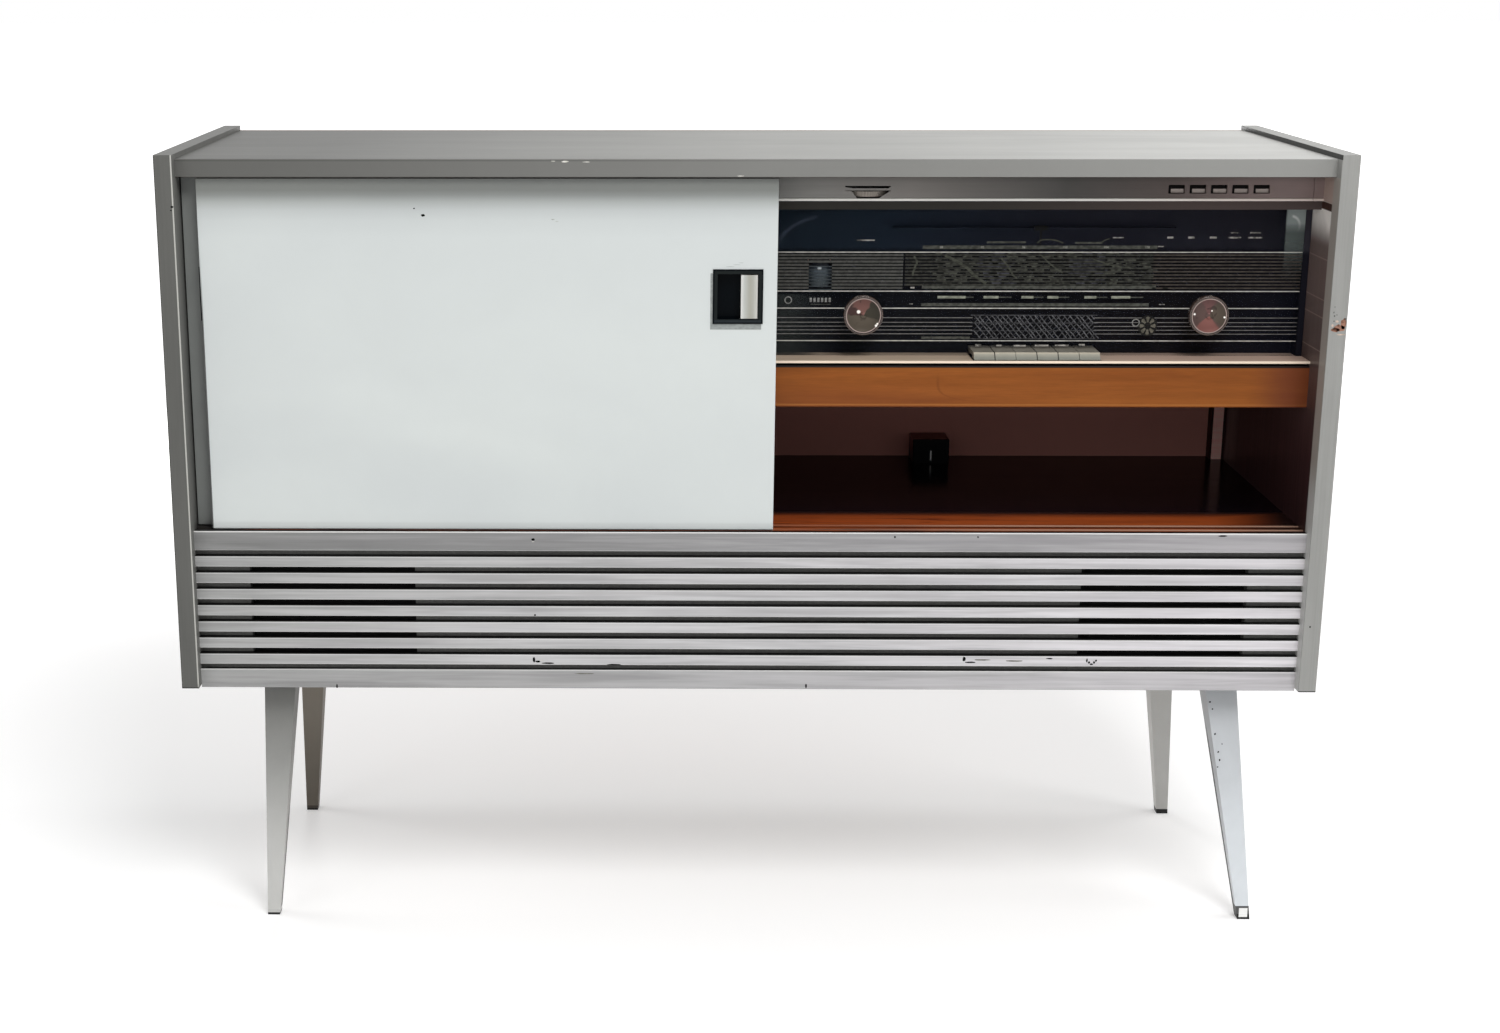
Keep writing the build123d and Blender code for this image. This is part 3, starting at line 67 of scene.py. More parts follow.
class Field:
    """A value that varies over a surface. Between masks & is both, | is either, and ~ is everywhere else."""

    __add__, __radd__ = operator("ADD"), operator("ADD", swapped=True)
    __sub__, __rsub__ = operator("SUBTRACT"), operator("SUBTRACT", swapped=True)
    __mul__ = __and__ = operator("MULTIPLY")
    __truediv__, __pow__ = operator("DIVIDE"), operator("POWER")
    __or__, lower = operator("MAXIMUM"), operator("MINIMUM")
    __abs__, sine, fract = operator("ABSOLUTE"), operator("SINE"), operator("FRACT")

    def __init__(self, nodes, socket):
        self.nodes, self.socket = nodes, socket

    def __invert__(self):
        return 1.0 - self

    def step(self, low, high):
        """0 below low, 1 above high, smooth between. Low above high turns it round."""
        return self.nodes.make("ShaderNodeMapRange", self, low, high, 0.0, 1.0,
                               interpolation_type="SMOOTHSTEP")

    def within(self, low, high, soft=0.0004):
        """1 between low and high, 0 outside."""
        return self.step(low - soft, low + soft) & self.step(high + soft, high - soft)

    def past(self, place, low, high):
        """The same step between two distances from a place, in mm."""
        return self.step(place + low * MM, place + high * MM)

    def around(self, place, low, high, soft=0.4):
        """1 between two distances from a place, in mm."""
        return self.within(place + low * MM, place + high * MM, soft * MM)

    def span(self, low, high):
        """A 0 to 1 value spread over low to high."""
        return self.nodes.make("ShaderNodeMapRange", self, 0.0, 1.0, low, high)

    def waves(self, pitch):
        """A wave from -1 to 1 that repeats after each pitch."""
        return (self * (TURN / pitch)).sine()

    def repeats(self, pitch):
        """The distance into the present one of equal pitches."""
        return (self / pitch).fract() * pitch

    def ramp(self, *stops):
        """Colour ramp from (position, colour) pairs."""
        node = self.nodes.add("ShaderNodeValToRGB", self)
        band = node.color_ramp
        while len(band.elements) < len(stops):
            band.elements.new(0.5)
        for element, (position, colour) in zip(band.elements, stops):
            element.position, element.color = position, shader_colour(colour)
        return Field(self.nodes, node.outputs[0])

    def mix(self, a, b):
        """Colour a where this mask is 0, colour b where it is 1."""
        return self.nodes.mix(self, a, b)


def either(first, *others):
    """1 wherever any of the masks is."""
    for mask in others:
        first = first | mask
    return first


def layers(colour, *coats):
    """The colour with others laid over it in turn, each where its mask is 1: (mask, colour) pairs."""
    for mask, coat in coats:
        colour = mask.mix(colour, coat)
    return colour


class Nodes:
    """Short calls that add nodes to a node tree."""

    def __init__(self, tree):
        self.tree = tree

    def put(self, socket, value):
        """Gives an input its value: a field, a number, a colour or nothing."""
        if isinstance(value, Field):
            self.tree.links.new(value.socket, socket)
        elif value is not None:
            socket.default_value = shader_colour(value) if socket.type == "RGBA" else value

    def add(self, kind, *inputs, **props):
        """A new node with its first inputs and its properties set."""
        node = self.tree.nodes.new(kind)
        for key, value in props.items():
            setattr(node, key, value)
        for socket, value in zip(node.inputs, inputs):
            self.put(socket, value)
        return node

    def make(self, kind, *inputs, output=0, **props):
        """One output of a new node, as a field."""
        return Field(self, self.add(kind, *inputs, **props).outputs[output])

    def math(self, operation, a, b=None):
        return self.make("ShaderNodeMath", a, b, operation=operation)

    def vector(self, operation, a, b=None, output=0):
        return self.make("ShaderNodeVectorMath", a, b, output=output, operation=operation)

    def length(self, vector):
        """How long the vector is."""
        return self.vector("LENGTH", vector, output="Value")

    def split(self, vector):
        """The X, Y and Z of a vector."""
        return (Field(self, part) for part in self.add("ShaderNodeSeparateXYZ", vector).outputs)

    def mix(self, share, a, b, blend="MIX"):
        node = self.add("ShaderNodeMix", data_type="RGBA", blend_type=blend)
        for index, value in zip((0, 6, 7), (share, a, b)):
            self.put(node.inputs[index], value)
        return Field(self, node.outputs[2])

    def rays(self, *kinds):
        """1 for light paths of these kinds."""
        path = self.add("ShaderNodeLightPath")
        return either(*(Field(self, path.outputs[f"Is {kind} Ray"]) for kind in kinds))


class Shader(Nodes):
    """A material under construction: its Principled shader, and the nodes in front of it."""

    def __init__(self, name, **sockets):
        self.material = bpy.data.materials.new(name)
        self.material.use_nodes = True
        super().__init__(self.material.node_tree)
        self.bsdf = next(n for n in self.tree.nodes if n.type == "BSDF_PRINCIPLED")
        self.place = self.make("ShaderNodeTexCoord", output="Object")
        self.x, self.y, self.z = self.split(self.place)
        self.set(**sockets)

    def set(self, **sockets):
        """Principled inputs by name, with spaces written as underscores."""
        for key, value in sockets.items():
            self.put(self.bsdf.inputs[key.replace("_", " ")], value)
        return self

    def noise(self, scale, stretch=(1, 1, 1), detail=3.0, rough=0.55, distortion=0.0):
        node = self.add("ShaderNodeTexNoise")
        self.put(node.inputs["Vector"], self.vector("MULTIPLY", self.place, stretch))
        values = {"Scale": scale, "Detail": detail, "Roughness": rough, "Distortion": distortion}
        for key, value in values.items():
            self.put(node.inputs[key], value)
        return Field(self, node.outputs["Fac"])

    def lift(self, colour, share):
        """The colour times a share that can vary over the surface."""
        base = colour if isinstance(colour, Field) else shader_colour(colour)[:3]
        node = self.add("ShaderNodeVectorMath", base, operation="SCALE")
        self.put(node.inputs["Scale"], share)
        return Field(self, node.outputs[0])

    def bump(self, height, strength=0.3, distance=0.0003):
        """Fine relief from a field of heights."""
        node = self.add("ShaderNodeBump")
        for key, value in (("Strength", strength), ("Distance", distance), ("Height", height)):
            self.put(node.inputs[key], value)
        self.set(Normal=Field(self, node.outputs[0]))
        return self


def link(name, data):
    """A new object, in the scene."""
    made = bpy.data.objects.new(name, data)
    bpy.context.scene.collection.objects.link(made)
    return made


def circle(steps):
    """Equal steps of angle, once round."""
    return [TURN * i / steps for i in range(steps)]


def dress(material, *names):
    """Gives CAD nodes their material."""
    for name in names:
        NODES[name].data.materials.clear()
        NODES[name].data.materials.append(material)


# ---------------------------------------------------------------- places, read from the frame
GLASS_LOW, GLASS_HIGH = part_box("dial_glass")
STRIP_LOW, STRIP_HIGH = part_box("control_strip")
KNOBS = {side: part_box(f"{side}_knob") for side in ("volume", "tuning")}
RIGHT_LOW, RIGHT_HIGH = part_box("right_side_panel")
TOP_LOW, TOP_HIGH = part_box("top_panel")
GRILLE_LOW, GRILLE_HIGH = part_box("grille_bars")
SHELF_LOW, SHELF_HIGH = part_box("tuner_shelf")
RAIL_LOW, RAIL_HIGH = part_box("shelf_front_rail")
DECK_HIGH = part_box("deck_plate")[1]
PLATTER_LOW, PLATTER_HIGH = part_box("platter")
ARM_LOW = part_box("tonearm")[0]
LEVER_LOW, LEVER_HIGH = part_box("speed_lever")
DOOR_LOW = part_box("front_door")[0]
INNER = RIGHT_LOW.x
FRONT = RIGHT_LOW.y
FLOOR_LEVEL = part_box("compartment_floor")[1].z
SHELF_TOP = SHELF_HIGH.z
GLASS_Y = GLASS_LOW.y
SLOT_LOW, SLOT_HIGH = 0.7756, 0.7880
HEADER_BAND = 0.7655, 0.7732
BRIGHT_LINES = 107.2, 67.0, 49.3, 15.4


def at(height_mm):
    """Level above the tuner shelf."""
    return SHELF_TOP + height_mm * MM


# ---------------------------------------------------------------- camera
FOCAL_PX, CENTRE_PX, IMAGE_WIDTH, IMAGE_HEIGHT = 2152.665, 617.11, 1500, 1033
CAMERA_AT = (-0.104504, -2.310599, 1.015164)
camera_data = bpy.data.cameras.new("camera")
camera = link("camera", camera_data)
camera_data.sensor_width = 36.0
camera_data.sensor_fit = "HORIZONTAL"
camera_data.lens = FOCAL_PX / IMAGE_WIDTH * camera_data.sensor_width
camera_data.shift_x = (IMAGE_WIDTH / 2 - CENTRE_PX) / IMAGE_WIDTH
camera_data.clip_start, camera_data.clip_end = 0.05, 100
YAW, PITCH, ROLL = (math.radians(a) for a in (0.81752, 14.69585, 0.07296))
aim = Matrix.Rotation(YAW, 4, "Z") @ Matrix.Rotation(-PITCH, 4, "X") @ Matrix.Rotation(ROLL, 4, "Y")
level_view = Matrix.Rotation(math.radians(90), 4, "X")
camera.matrix_world = Matrix.Translation(CAMERA_AT) @ aim @ level_view
bpy.context.scene.camera = camera


def sight(u, v):
    """Where the camera stands, and the direction in which it sees a point of the 1500 by 1033 view."""
    right, up, back = (camera.matrix_world.to_3x3() @ Vector(a) for a in ((1, 0, 0), (0, 1, 0), (0, 0, 1)))
    direction = right * (u - CENTRE_PX) + up * (IMAGE_HEIGHT / 2 - v) - back * FOCAL_PX
    return camera.location, direction.normalized()


# ---------------------------------------------------------------- silver paint
def silver(name, left, middle, right, streak, roughness=0.40):
    """Silver-grey lacquer with three tones from left to right, painted light that is darker at the left, fine
    brush streaks and cloudy patches.
    """
    s = Shader(name, Metallic=0.05, IOR=1.45, Specular_IOR_Level=0.15)
    fine_way, broad_way = {"x": ((0.9, 70, 70), (1.6, 9, 9)), "z": ((70, 70, 0.9), (9, 9, 1.6))}[streak]
    fine = s.noise(6.0, fine_way, 4.0, 0.62)
    broad = s.noise(2.2, broad_way, 4.0, 0.6, 0.5)
    cloud = s.noise(5.5, rough=0.6, distortion=0.6)
    along = s.x * (0.5 / INNER) + 0.5
    # Painted light: the lacquer darker at the left, lighter at the right.
    base = along.ramp((0.0, left), (0.5, middle), (1.0, right))
    patches = broad.span(0.8, 1.2) * cloud.span(0.92, 1.08)
    s.colour = s.lift(s.lift(base, fine.span(0.86, 1.14)), patches)
    s.cloud, s.along = cloud, along
    s.set(Roughness=fine.span(roughness - 0.07, roughness + 0.1))
    s.bump(fine, 0.08, 0.0002)
    return s


def brown_wood(s, dark, light, streak=(1.2, 26, 26), scale=7.0):
    """Stained wood colour with grain along X unless the stretch says otherwise."""
    grain = s.noise(scale, streak, 5.0, 0.62, 0.35)
    pores = s.noise(scale * 7, tuple(v * 1.4 for v in streak), 2.0, 0.5)
    tint = grain.ramp((0.28, dark), (0.72, light))
    return (s.lift(tint, pores.span(0.82, 1.12)), grain)


def grey(value):
    """A grey just off neutral, towards yellow."""
    return value, value, value - 3


side = silver("side_paint", grey(99), grey(128), grey(153), "z", 0.42)
stain_and_painted_light, _ = brown_wood(side, (54, 35, 37), (76, 50, 51), (26, 26, 1.2))
# Painted light on the wall beside the dial, over its brown stain: pale grey high up, darker low down.
high_wall = side.z.step(SHELF_TOP - 0.1, SHELF_TOP + 0.06)
wall_cloud = side.noise(16, (1, 1, 0.8), 3.0, 0.6, 0.8)
stain_and_painted_light = high_wall.mix(stain_and_painted_light, (112, 96, 92))
to_front = side.y.step(-0.116, -0.15)
# Painted, not reflected: what the lacquered wall beside the dial shows of the smoky glass, of the ends of
# the dial lines, of the header and of the control strip. The bands are levels of the CAD frame.
smoke_back = side.z.step(0.728, 0.758) & wall_cloud.span(0.4, 1.6)
stain_and_painted_light = smoke_back.mix(stain_and_painted_light, (255, 250, 244))
stain_and_painted_light = side.lift(stain_and_painted_light, side.z.step(0.7, 0.64).span(1.0, 0.74))
line_back = either(*(side.z.around(at(h), -0.5, 0.5, 0.5) for h in BRIGHT_LINES))
header_back = side.z.within(*HEADER_BAND, 0.0006)
strip_back = side.z.past(HEADER_BAND[1], -0.4, 0.6)
at_left = side.x.step(0.1, -0.1)
# Painted light: the silver front strip of the wall lighter towards the front and low down; on the left panel,
# painted shade deepens into the gap behind the front edge.
front_strip = side.y.past(FRONT, 22.6, 19.6)
strip_tone = side.z.step(0.52, 0.47).mix((166, 160, 153), (190, 190, 187))
groove_left = side.y.past(FRONT, 0, 48).ramp((0.0, grey(112)), (0.6, grey(92)), (0.85, grey(44)))
stain_and_painted_light = layers(
    stain_and_painted_light,
    (line_back * 0.35, (190, 170, 160)), (header_back, (62, 40, 34)),
    (strip_back, wall_cloud.mix((160, 138, 130), (186, 166, 156))),
    (front_strip, to_front.mix((140, 132, 126), strip_tone)), (at_left, groove_left),
)
lined = abs(side.x).past(INNER, 1.2, 0.4) & side.y.past(FRONT, 0.6, 1.2) & side.z.past(TOP_LOW.z, 0.6, -0.2)
# Painted highlight along the inner front edge of the left panel, and painted shade in dark lines under the
# panels and along the inner top edge; a dark line also runs down the outer front edge of the left panel.
arris = side.x.around(-INNER, -1.3, 1, 0.2) & side.y.past(FRONT, 1, 0.4) & side.z.past(GRILLE_LOW.z, 0, 10)
dark_lines = (
    side.z.past(RIGHT_LOW.z, 1.6, 0.6)
    | side.x.past(-RIGHT_HIGH.x, 1.2, 0.6) * 0.7 & side.y.past(FRONT, 1.2, 0.6)
    | side.x.around(INNER, -0.5, 0.5, 0.2) & side.z.past(TOP_HIGH.z, 0, 0.4)
)
outer_left = side.x.past(-RIGHT_HIGH.x, 0.4, 0.1) & side.y.past(FRONT, 0.6, 1.2)
side_colour = outer_left.mix(side.colour, side.lift(side.colour, 2.3))
side_colour = layers(side_colour, (arris, (186, 186, 180)), (dark_lines, (38, 38, 36)))
side.set(
    Base_Color=lined.mix(side_colour, stain_and_painted_light),
    Coat_Weight=(lined & ~front_strip) * 0.25, Coat_Roughness=0.08
)

top = silver("top_paint", grey(103), grey(150), grey(186), "x", 0.42)
under = top.z.past(TOP_LOW.z, 0.6, 0.1)
# Painted light: the front face darker than the top and darker at the left, with a dark line along its upper
# edge.
face = top.y.past(TOP_LOW.y, 1, 0.3)
face_tone = top.along.ramp((0.0, grey(98)), (0.5, grey(127)), (1.0, grey(147)))
face_tone = top.lift(face_tone, top.cloud.span(0.94, 1.06))
rim_line = face & top.z.around(TOP_HIGH.z, -2.2, -1.2, 0.3) & top.x.step(0.25, -0.25)
face_tone = (rim_line * 0.5).mix(face_tone, grey(66))
# Painted shade: the top darker towards the left.
top_fall = top.along.ramp(
    *(
        (place, (share, share, share, 1))
        for place, share in ((0.0, 0.8), (0.115, 0.71), (0.2, 0.8), (0.33, 0.9), (0.5, 1.0))
    )
)
top_colour = top.mix(1.0, top.colour, top_fall, "MULTIPLY")
top.set(Base_Color=under.mix(face.mix(top_colour, face_tone), (52, 34, 26)))

slats = silver("slat_paint", (170, 170, 169), (190, 189, 190), (211, 208, 211), "x", 0.38)
SLAT, SLAT_PITCH, LOWEST = 0.0122, 0.01765, GRILLE_LOW.z + 0.02595
# Painted shade: every face of the slats behind the front, near black.
hollow = slats.y.past(GRILLE_LOW.y, 0.8, 1.4)
top_rail = slats.z.past(GRILLE_HIGH.z, -23.5, -22.5)
low_rail = slats.z.past(GRILLE_LOW.z, 21.5, 20.5)
# Painted shade: the rails darker than the slats between them, and the whole grille darker upwards.
shade = top_rail * 0.34 + low_rail * 0.24
fall = slats.z.step(GRILLE_HIGH.z, GRILLE_LOW.z).span(0.93, 1.07)
streaks = slats.noise(4.0, (1.2, 34, 34), 3.0, 0.6, 0.3)
fall = fall * streaks.step(0.34, 0.66).span(0.87, 1.13)
slat_colour = slats.lift(slats.colour, ~shade * fall)
in_pitch = (slats.z - LOWEST).repeats(SLAT_PITCH)
bar_only = ~(top_rail | low_rail)
# Painted highlights along the edges of the slats and rails; painted shadow in dark lines along the top of
# each slat and of the lower rail.
edge_light = (
    bar_only & in_pitch.past(SLAT, -2.4, -1.6) | bar_only & in_pitch.step(0.0012, 0.0006)
    | slats.z.past(GRILLE_HIGH.z, -1.4, -0.8) * 1.8 | slats.z.around(GRILLE_HIGH.z, -20.7, -19.7, 0.3)
    | slats.z.around(GRILLE_LOW.z, 19.5, 20.7, 0.3)
)
painted_shadow_lines = bar_only & in_pitch.past(SLAT, -1.1, -0.8) | slats.z.around(GRILLE_LOW.z, 20.7, 21.7, 0.2)
slat_colour = layers(slat_colour, (edge_light * 0.38, grey(244)), (painted_shadow_lines, (12, 12, 12)))
slats.set(Base_Color=hollow.mix(slat_colour, (7, 7, 7)))

legs = silver("leg_paint", grey(190), grey(190), grey(200), "z", 0.42)
behind = legs.y.step(-0.02, 0.02)
to_left = legs.x.step(0.1, -0.1)
# Painted light: each leg has its own tone at the top and at the foot, as in the photo.
down = legs.z.step(0.26, 0.02)
front_left = down.mix(grey(126), grey(206))
front_right = down.mix((188, 191, 194), (222, 227, 231))
rear_left = down.mix((147, 141, 131), (119, 113, 104))
rear_right = down.mix(grey(182), grey(205))
leg_tone = behind.mix(to_left.mix(front_right, front_left), to_left.mix(rear_right, rear_left))
leg_cloud = legs.noise(22, (1, 1, 0.6), 4.0, 0.65, 0.5)
leg_tone = legs.lift(leg_tone, leg_cloud.span(0.9, 1.1))
# The legs taper and lean: each of these follows a line of the CAD legs by the share of the way down.
LEG_TOP = 0.268
share = ~(legs.z / LEG_TOP)
rear_arris = -0.11125 - share * 0.03015
from_rear = rear_arris - legs.y
in_front = ~behind
middle_x = to_left.span(share * 0.04005 + 0.50215, share * 0.0159 + 0.49385)
inner_side = (abs(legs.x) - middle_x).step(0.001, -0.001) & from_rear.step(0.0002, 0.0006)
# Painted shade: a dark line down the inner side of each front leg.
thin_line = to_left.mix(
    from_rear.step(0.0078, 0.0066) & legs.z.step(0.235, 0.18),
    from_rear.step(0.0086, 0.0072) & legs.z.step(0.125, 0.105)
)
front_face = share * -0.00985 - 0.14475
off_front = legs.y.past(front_face, 0.6, 1.4)
# Painted shade: the front legs darker on the faces beside the front face, most near the top.
leg_tone = legs.lift(leg_tone, ~(off_front & in_front & down.span(0.22, 0.05)))
right_foot = in_front & legs.x.step(0.1, 0.2)
leg_tone = (right_foot & legs.z.step(0.0146, 0.0142)).mix(leg_tone, (246, 246, 244))
ferrule_line = (
    right_foot
    & (
        legs.z.within(0.0128, 0.0152, 0.0002)
        | legs.z.step(0.0148, 0.0144) & (
            off_front | legs.x.step(0.538, 0.5376) | legs.x.step(0.5468, 0.5472)
        )
    )
)
leg_lines = thin_line & in_front & inner_side | ferrule_line
legs.set(Base_Color=(leg_lines * 0.9).mix(leg_tone, (12, 12, 12)))

dress(side.material, "left_side_panel", "right_side_panel")
dress(top.material, "top_panel")
dress(slats.material, "grille_bars")
dress(legs.material, "legs")

caps = Shader("foot_cap", Metallic=0.4)
worn = caps.noise(60)
at_right = caps.x.step(-0.05, 0.05)
at_front = caps.y.step(0.0, -0.05)
# Each cap has its own tone, pale at the front and dark at the rear: partly the caps' own colour, partly
# painted light, as on the legs.
cap_front = at_right.mix(grey(196), (240, 240, 238))
cap_rear = at_right.mix((70, 64, 58), (26, 26, 26))
cap_tone = at_front.mix(cap_rear, cap_front)
cap_edge = (
    caps.z.step(0.0028, 0.0022)
    | at_front & at_right & (
        caps.x.step(0.538, 0.5376) | caps.x.step(0.5468, 0.5472) | caps.y.step(-0.1538, -0.1532)
    )
)
cap_tone = cap_edge.mix(cap_tone, (14, 14, 14))
caps.set(Base_Color=caps.lift(cap_tone, worn.span(0.9, 1.08)), Roughness=worn.span(0.3, 0.6))
caps.bump(worn, 0.2)
dress(caps.material, "foot_caps")

# ---------------------------------------------------------------- doors and pulls
door = Shader("door_white", IOR=1.48, Coat_Weight=0.15, Coat_Roughness=0.12)
mottle = door.noise(9.0, detail=4.0, rough=0.6, distortion=0.4)
haze = door.noise(2.2, (1.0, 1, 1.6), 2.0, 0.5, 0.8)
roll = door.noise(420, detail=2.0, rough=0.5)
white = haze.ramp((0.3, (203, 208, 208)), (0.7, (215, 220, 218)))
white = door.lift(white, mottle.span(0.96, 1.03))
uneven_z = door.z + mottle.span(-0.0012, 0.0012)
# Painted shade: the top of the door, under the top panel, gets darker upwards.
SHADE_FROM, SHADE_DEEP = 0.74, 0.06
top_shade = ((uneven_z - SHADE_FROM) * (1 / SHADE_DEEP)).ramp(
    (0.0, (1, 1, 1, 1)), (0.28, (0.94, 0.94, 0.94, 1)), (0.45, (0.82, 0.82, 0.82, 1)),
    (0.58, (0.62, 0.62, 0.61, 1)), (0.7, (0.36, 0.36, 0.35, 1)), (0.78, (0.27, 0.27, 0.255, 1))
)
white = door.mix(1.0, white, top_shade, "MULTIPLY")
# Painted shadow: a dark line down the left edge of the door, and the bottom edge slightly darker.
gap_line = door.x.past(DOOR_LOW.x, 1.5, 1.1) & door.z.step(0.745, 0.64)
white = (gap_line * 0.85).mix(white, (38, 38, 38))
low_edge = door.z.step(0.4475, 0.444)
white = door.lift(white, ~(low_edge * 0.1))
door.set(Base_Color=white, Roughness=mottle.span(0.26, 0.42))
door.bump(roll * 0.3 + haze, 0.12, 0.0006)
dress(door.material, "front_door")

rear = Shader("door_grey", IOR=1.48, Coat_Weight=0.1, Coat_Roughness=0.2)
mottle = rear.noise(8.0, detail=4.0, rough=0.6, distortion=0.4)
rear.set(
    Base_Color=mottle.ramp((0.3, (118, 121, 119)), (0.7, (132, 135, 132))),
    Roughness=mottle.span(0.32, 0.46)
)
rear.bump(rear.noise(380, detail=2.0), 0.08, 0.0005)
dress(rear.material, "rear_door")


def pull_material(name, node, grip_side):
    """Black moulding with a fine leathery grain, and the pale face of its grip bar."""
    low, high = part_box(node)
    s = Shader(name, IOR=1.5, Specular_IOR_Level=0.04)
    grain = s.noise(900, detail=2.0)
    outer = (high.x if grip_side > 0 else low.x) - grip_side * 0.0056
    inner = outer - grip_side * 0.0166
    bar = (
        s.x.within(min(outer, inner) - 0.0001, max(outer, inner) + 0.0001, 0.0001)
        & s.z.within(low.z + 0.005, high.z - 0.005, 0.0002) & s.y.past(low.y, 9, 6)
    )
    across = s.x.step(min(outer, inner), max(outer, inner))
    pale = across.ramp(
        (0.0, (216, 216, 212)), (0.1, (190, 192, 188)), (0.4, (175, 175, 167)), (0.6, (170, 169, 158)),
        (0.82, (174, 174, 166)), (1.0, (196, 196, 190))
    )
    pale = s.lift(pale, s.noise(120, (1, 1, 0.2)).span(0.93, 1.05))
    to_edge = (s.x - low.x).lower(high.x - s.x).lower((s.z - low.z).lower(high.z - s.z))
    flange = s.y.past(low.y, 1.2, 0.6)
    # A near-black band on the flange, 1 to 5 mm in from its edge; the rest of the moulding lighter along its
    # bottom.
    dark_band = flange & to_edge.step(0.001, 0.002) & to_edge.step(0.0052, 0.0046)
    moulding = dark_band.mix((4, 8, 12), s.z.past(low.z, 5, 3).mix((30, 34, 34), (40, 45, 48)))
    s.set(Base_Color=bar.mix(moulding, pale), Roughness=grain.span(0.24, 0.42))
    s.bump(grain, 0.12, 0.0001)
    return s.material


dress(pull_material("front_pull", "front_door_pull", 1), "front_door_pull")
dress(pull_material("rear_pull", "rear_door_pull", -1), "rear_door_pull")


# ---------------------------------------------------------------- wood inside the cabinet
def wood(name, dark, light, roughness=0.45, streak=(1.2, 26, 26), coat=0.0, **sockets):
    """Stained and varnished wood, with its grain in colour, gloss and relief."""
    s = Shader(name, Coat_Weight=coat, Coat_Roughness=0.15, **sockets)
    colour, grain = brown_wood(s, dark, light, streak)
    s.set(Roughness=grain.span(roughness - 0.08, roughness + 0.1))
    s.bump(grain, 0.15, 0.0002)
    s.colour = colour
    s.set(Base_Color=colour)
    return s


rail = wood("rail_orange", (124, 66, 22), (148, 85, 34), 0.4, (0.8, 12, 12), 0.0, Specular_IOR_Level=0.15)
# Painted shade: the rail darker and redder towards the right wall.
red_end = rail.x.step(INNER - 0.066, INNER - 0.016)
streak_map = rail.noise(6, (0.8, 3, 6), 3.0, 0.6, 1.2)
rail_colour = (streak_map.step(0.56, 0.72) * 0.3).mix(rail.colour, (104, 50, 16))
low_share = (RAIL_HIGH.z - rail.z) / (RAIL_HIGH.z - RAIL_LOW.z)
knot_x = low_share ** 8.0 * 0.118 + 0.1935
knot = (rail.x - knot_x).within(-0.0012, 0.0012, 0.0012) & low_share.step(0.1, 0.5)
ruddy = low_share.step(0.3, 0.9) & rail.x.step(0.34, 0.1)
lower_line = rail.z.around(RAIL_LOW.z, 1.8, 3.2, 0.4)
rail_colour = layers(
    rail_colour,
    (knot * 0.42, (96, 46, 16)), (ruddy * 0.45, (116, 60, 30)), (lower_line * 0.35, (190, 128, 66)),
    (red_end * 0.75, (96, 46, 28)),
)
# Painted shade: a near-black band along the top, where the rail meets the ledge.
rail_top = rail.z.past(RAIL_HIGH.z, -2.2, -1.6)
rail.set(Base_Color=rail_top.mix(rail_colour, (18, 10, 8)))
dress(rail.material, "shelf_front_rail")

ledge = wood("ledge_beige", (188, 168, 146), (214, 192, 170), 0.3, (1.0, 30, 30), 0.1)
pink = ledge.x.step(0.3, 0.42)
# Painted highlight: the top of the front face pale; painted shade: near black below it.
lip = ledge.y.past(SHELF_LOW.y, 3, 1)
ledge_colour = (pink * 0.4).mix(ledge.colour, (214, 176, 166))
ledge_colour = lip.mix(ledge_colour, (240, 222, 200))
deep = ledge.z.past(SHELF_TOP, -2, -2.8)
ledge.set(Base_Color=deep.mix(ledge_colour, (20, 12, 9)))
dress(ledge.material, "tuner_shelf")

track = wood("track_wood", (136, 60, 24), (174, 84, 36), 0.35, (1.0, 22, 22), 0.05, Specular_IOR_Level=0.2)
# Painted shade: darker below the level of the floor.
groove = track.z.past(FLOOR_LEVEL, -0.8, -2)
scorch = track.noise(7, (0.7, 8, 8), 4.0, 0.65, 1.4).step(0.5, 0.66) * track.x.step(0.45, 0.1)
track_colour = scorch.mix(track.colour, (74, 24, 12))
# Painted shade: the track gets darker towards the rear and towards the right wall.
rear_fade = track.y.step(-0.112, -0.088)
right_fade = (track.x - track.y * 0.2).step(0.5, 0.592)
track_colour = (rear_fade | right_fade).mix(track_colour, (26, 14, 12))
# Painted highlights on the lips between the door grooves, and painted shade in the grooves.
pale_lines = (
    (track.y.within(-0.145, -0.14, 0.0012) | track.y.within(-0.162, -0.156, 0.0014))
    & track.x.step(0.05, 0.3).span(0.25, 0.8)
)
dark_grooves = (
    (track.y.within(-0.153, -0.147, 0.0012) | track.y.step(-0.163, -0.165))
    & track.x.step(0.05, 0.3).span(0.5, 0.8)
)
track_colour = dark_grooves.mix(pale_lines.mix(track_colour, (196, 158, 136)), (46, 22, 14))
# Painted shade: dark towards the left end.
track_colour = track.x.step(-0.5, -0.536).mix(track_colour, (44, 42, 40))
track.set(Base_Color=groove.mix(track_colour, (20, 14, 12)))
dress(track.material, "lower_door_track")

# The floor is near-black glossy wood: partly its own colour, partly painted shade deep in the compartment.
gloss = wood("floor_gloss", (3, 2, 6), (8, 6, 10), 0.16, (1.0, 20, 20), 0.0, Specular_IOR_Level=0.09)
dress(gloss.material, "compartment_floor")
dress(wood("partition_wood", (58, 32, 24), (86, 50, 38), 0.5, (26, 26, 1.2)).material, "center_partition")
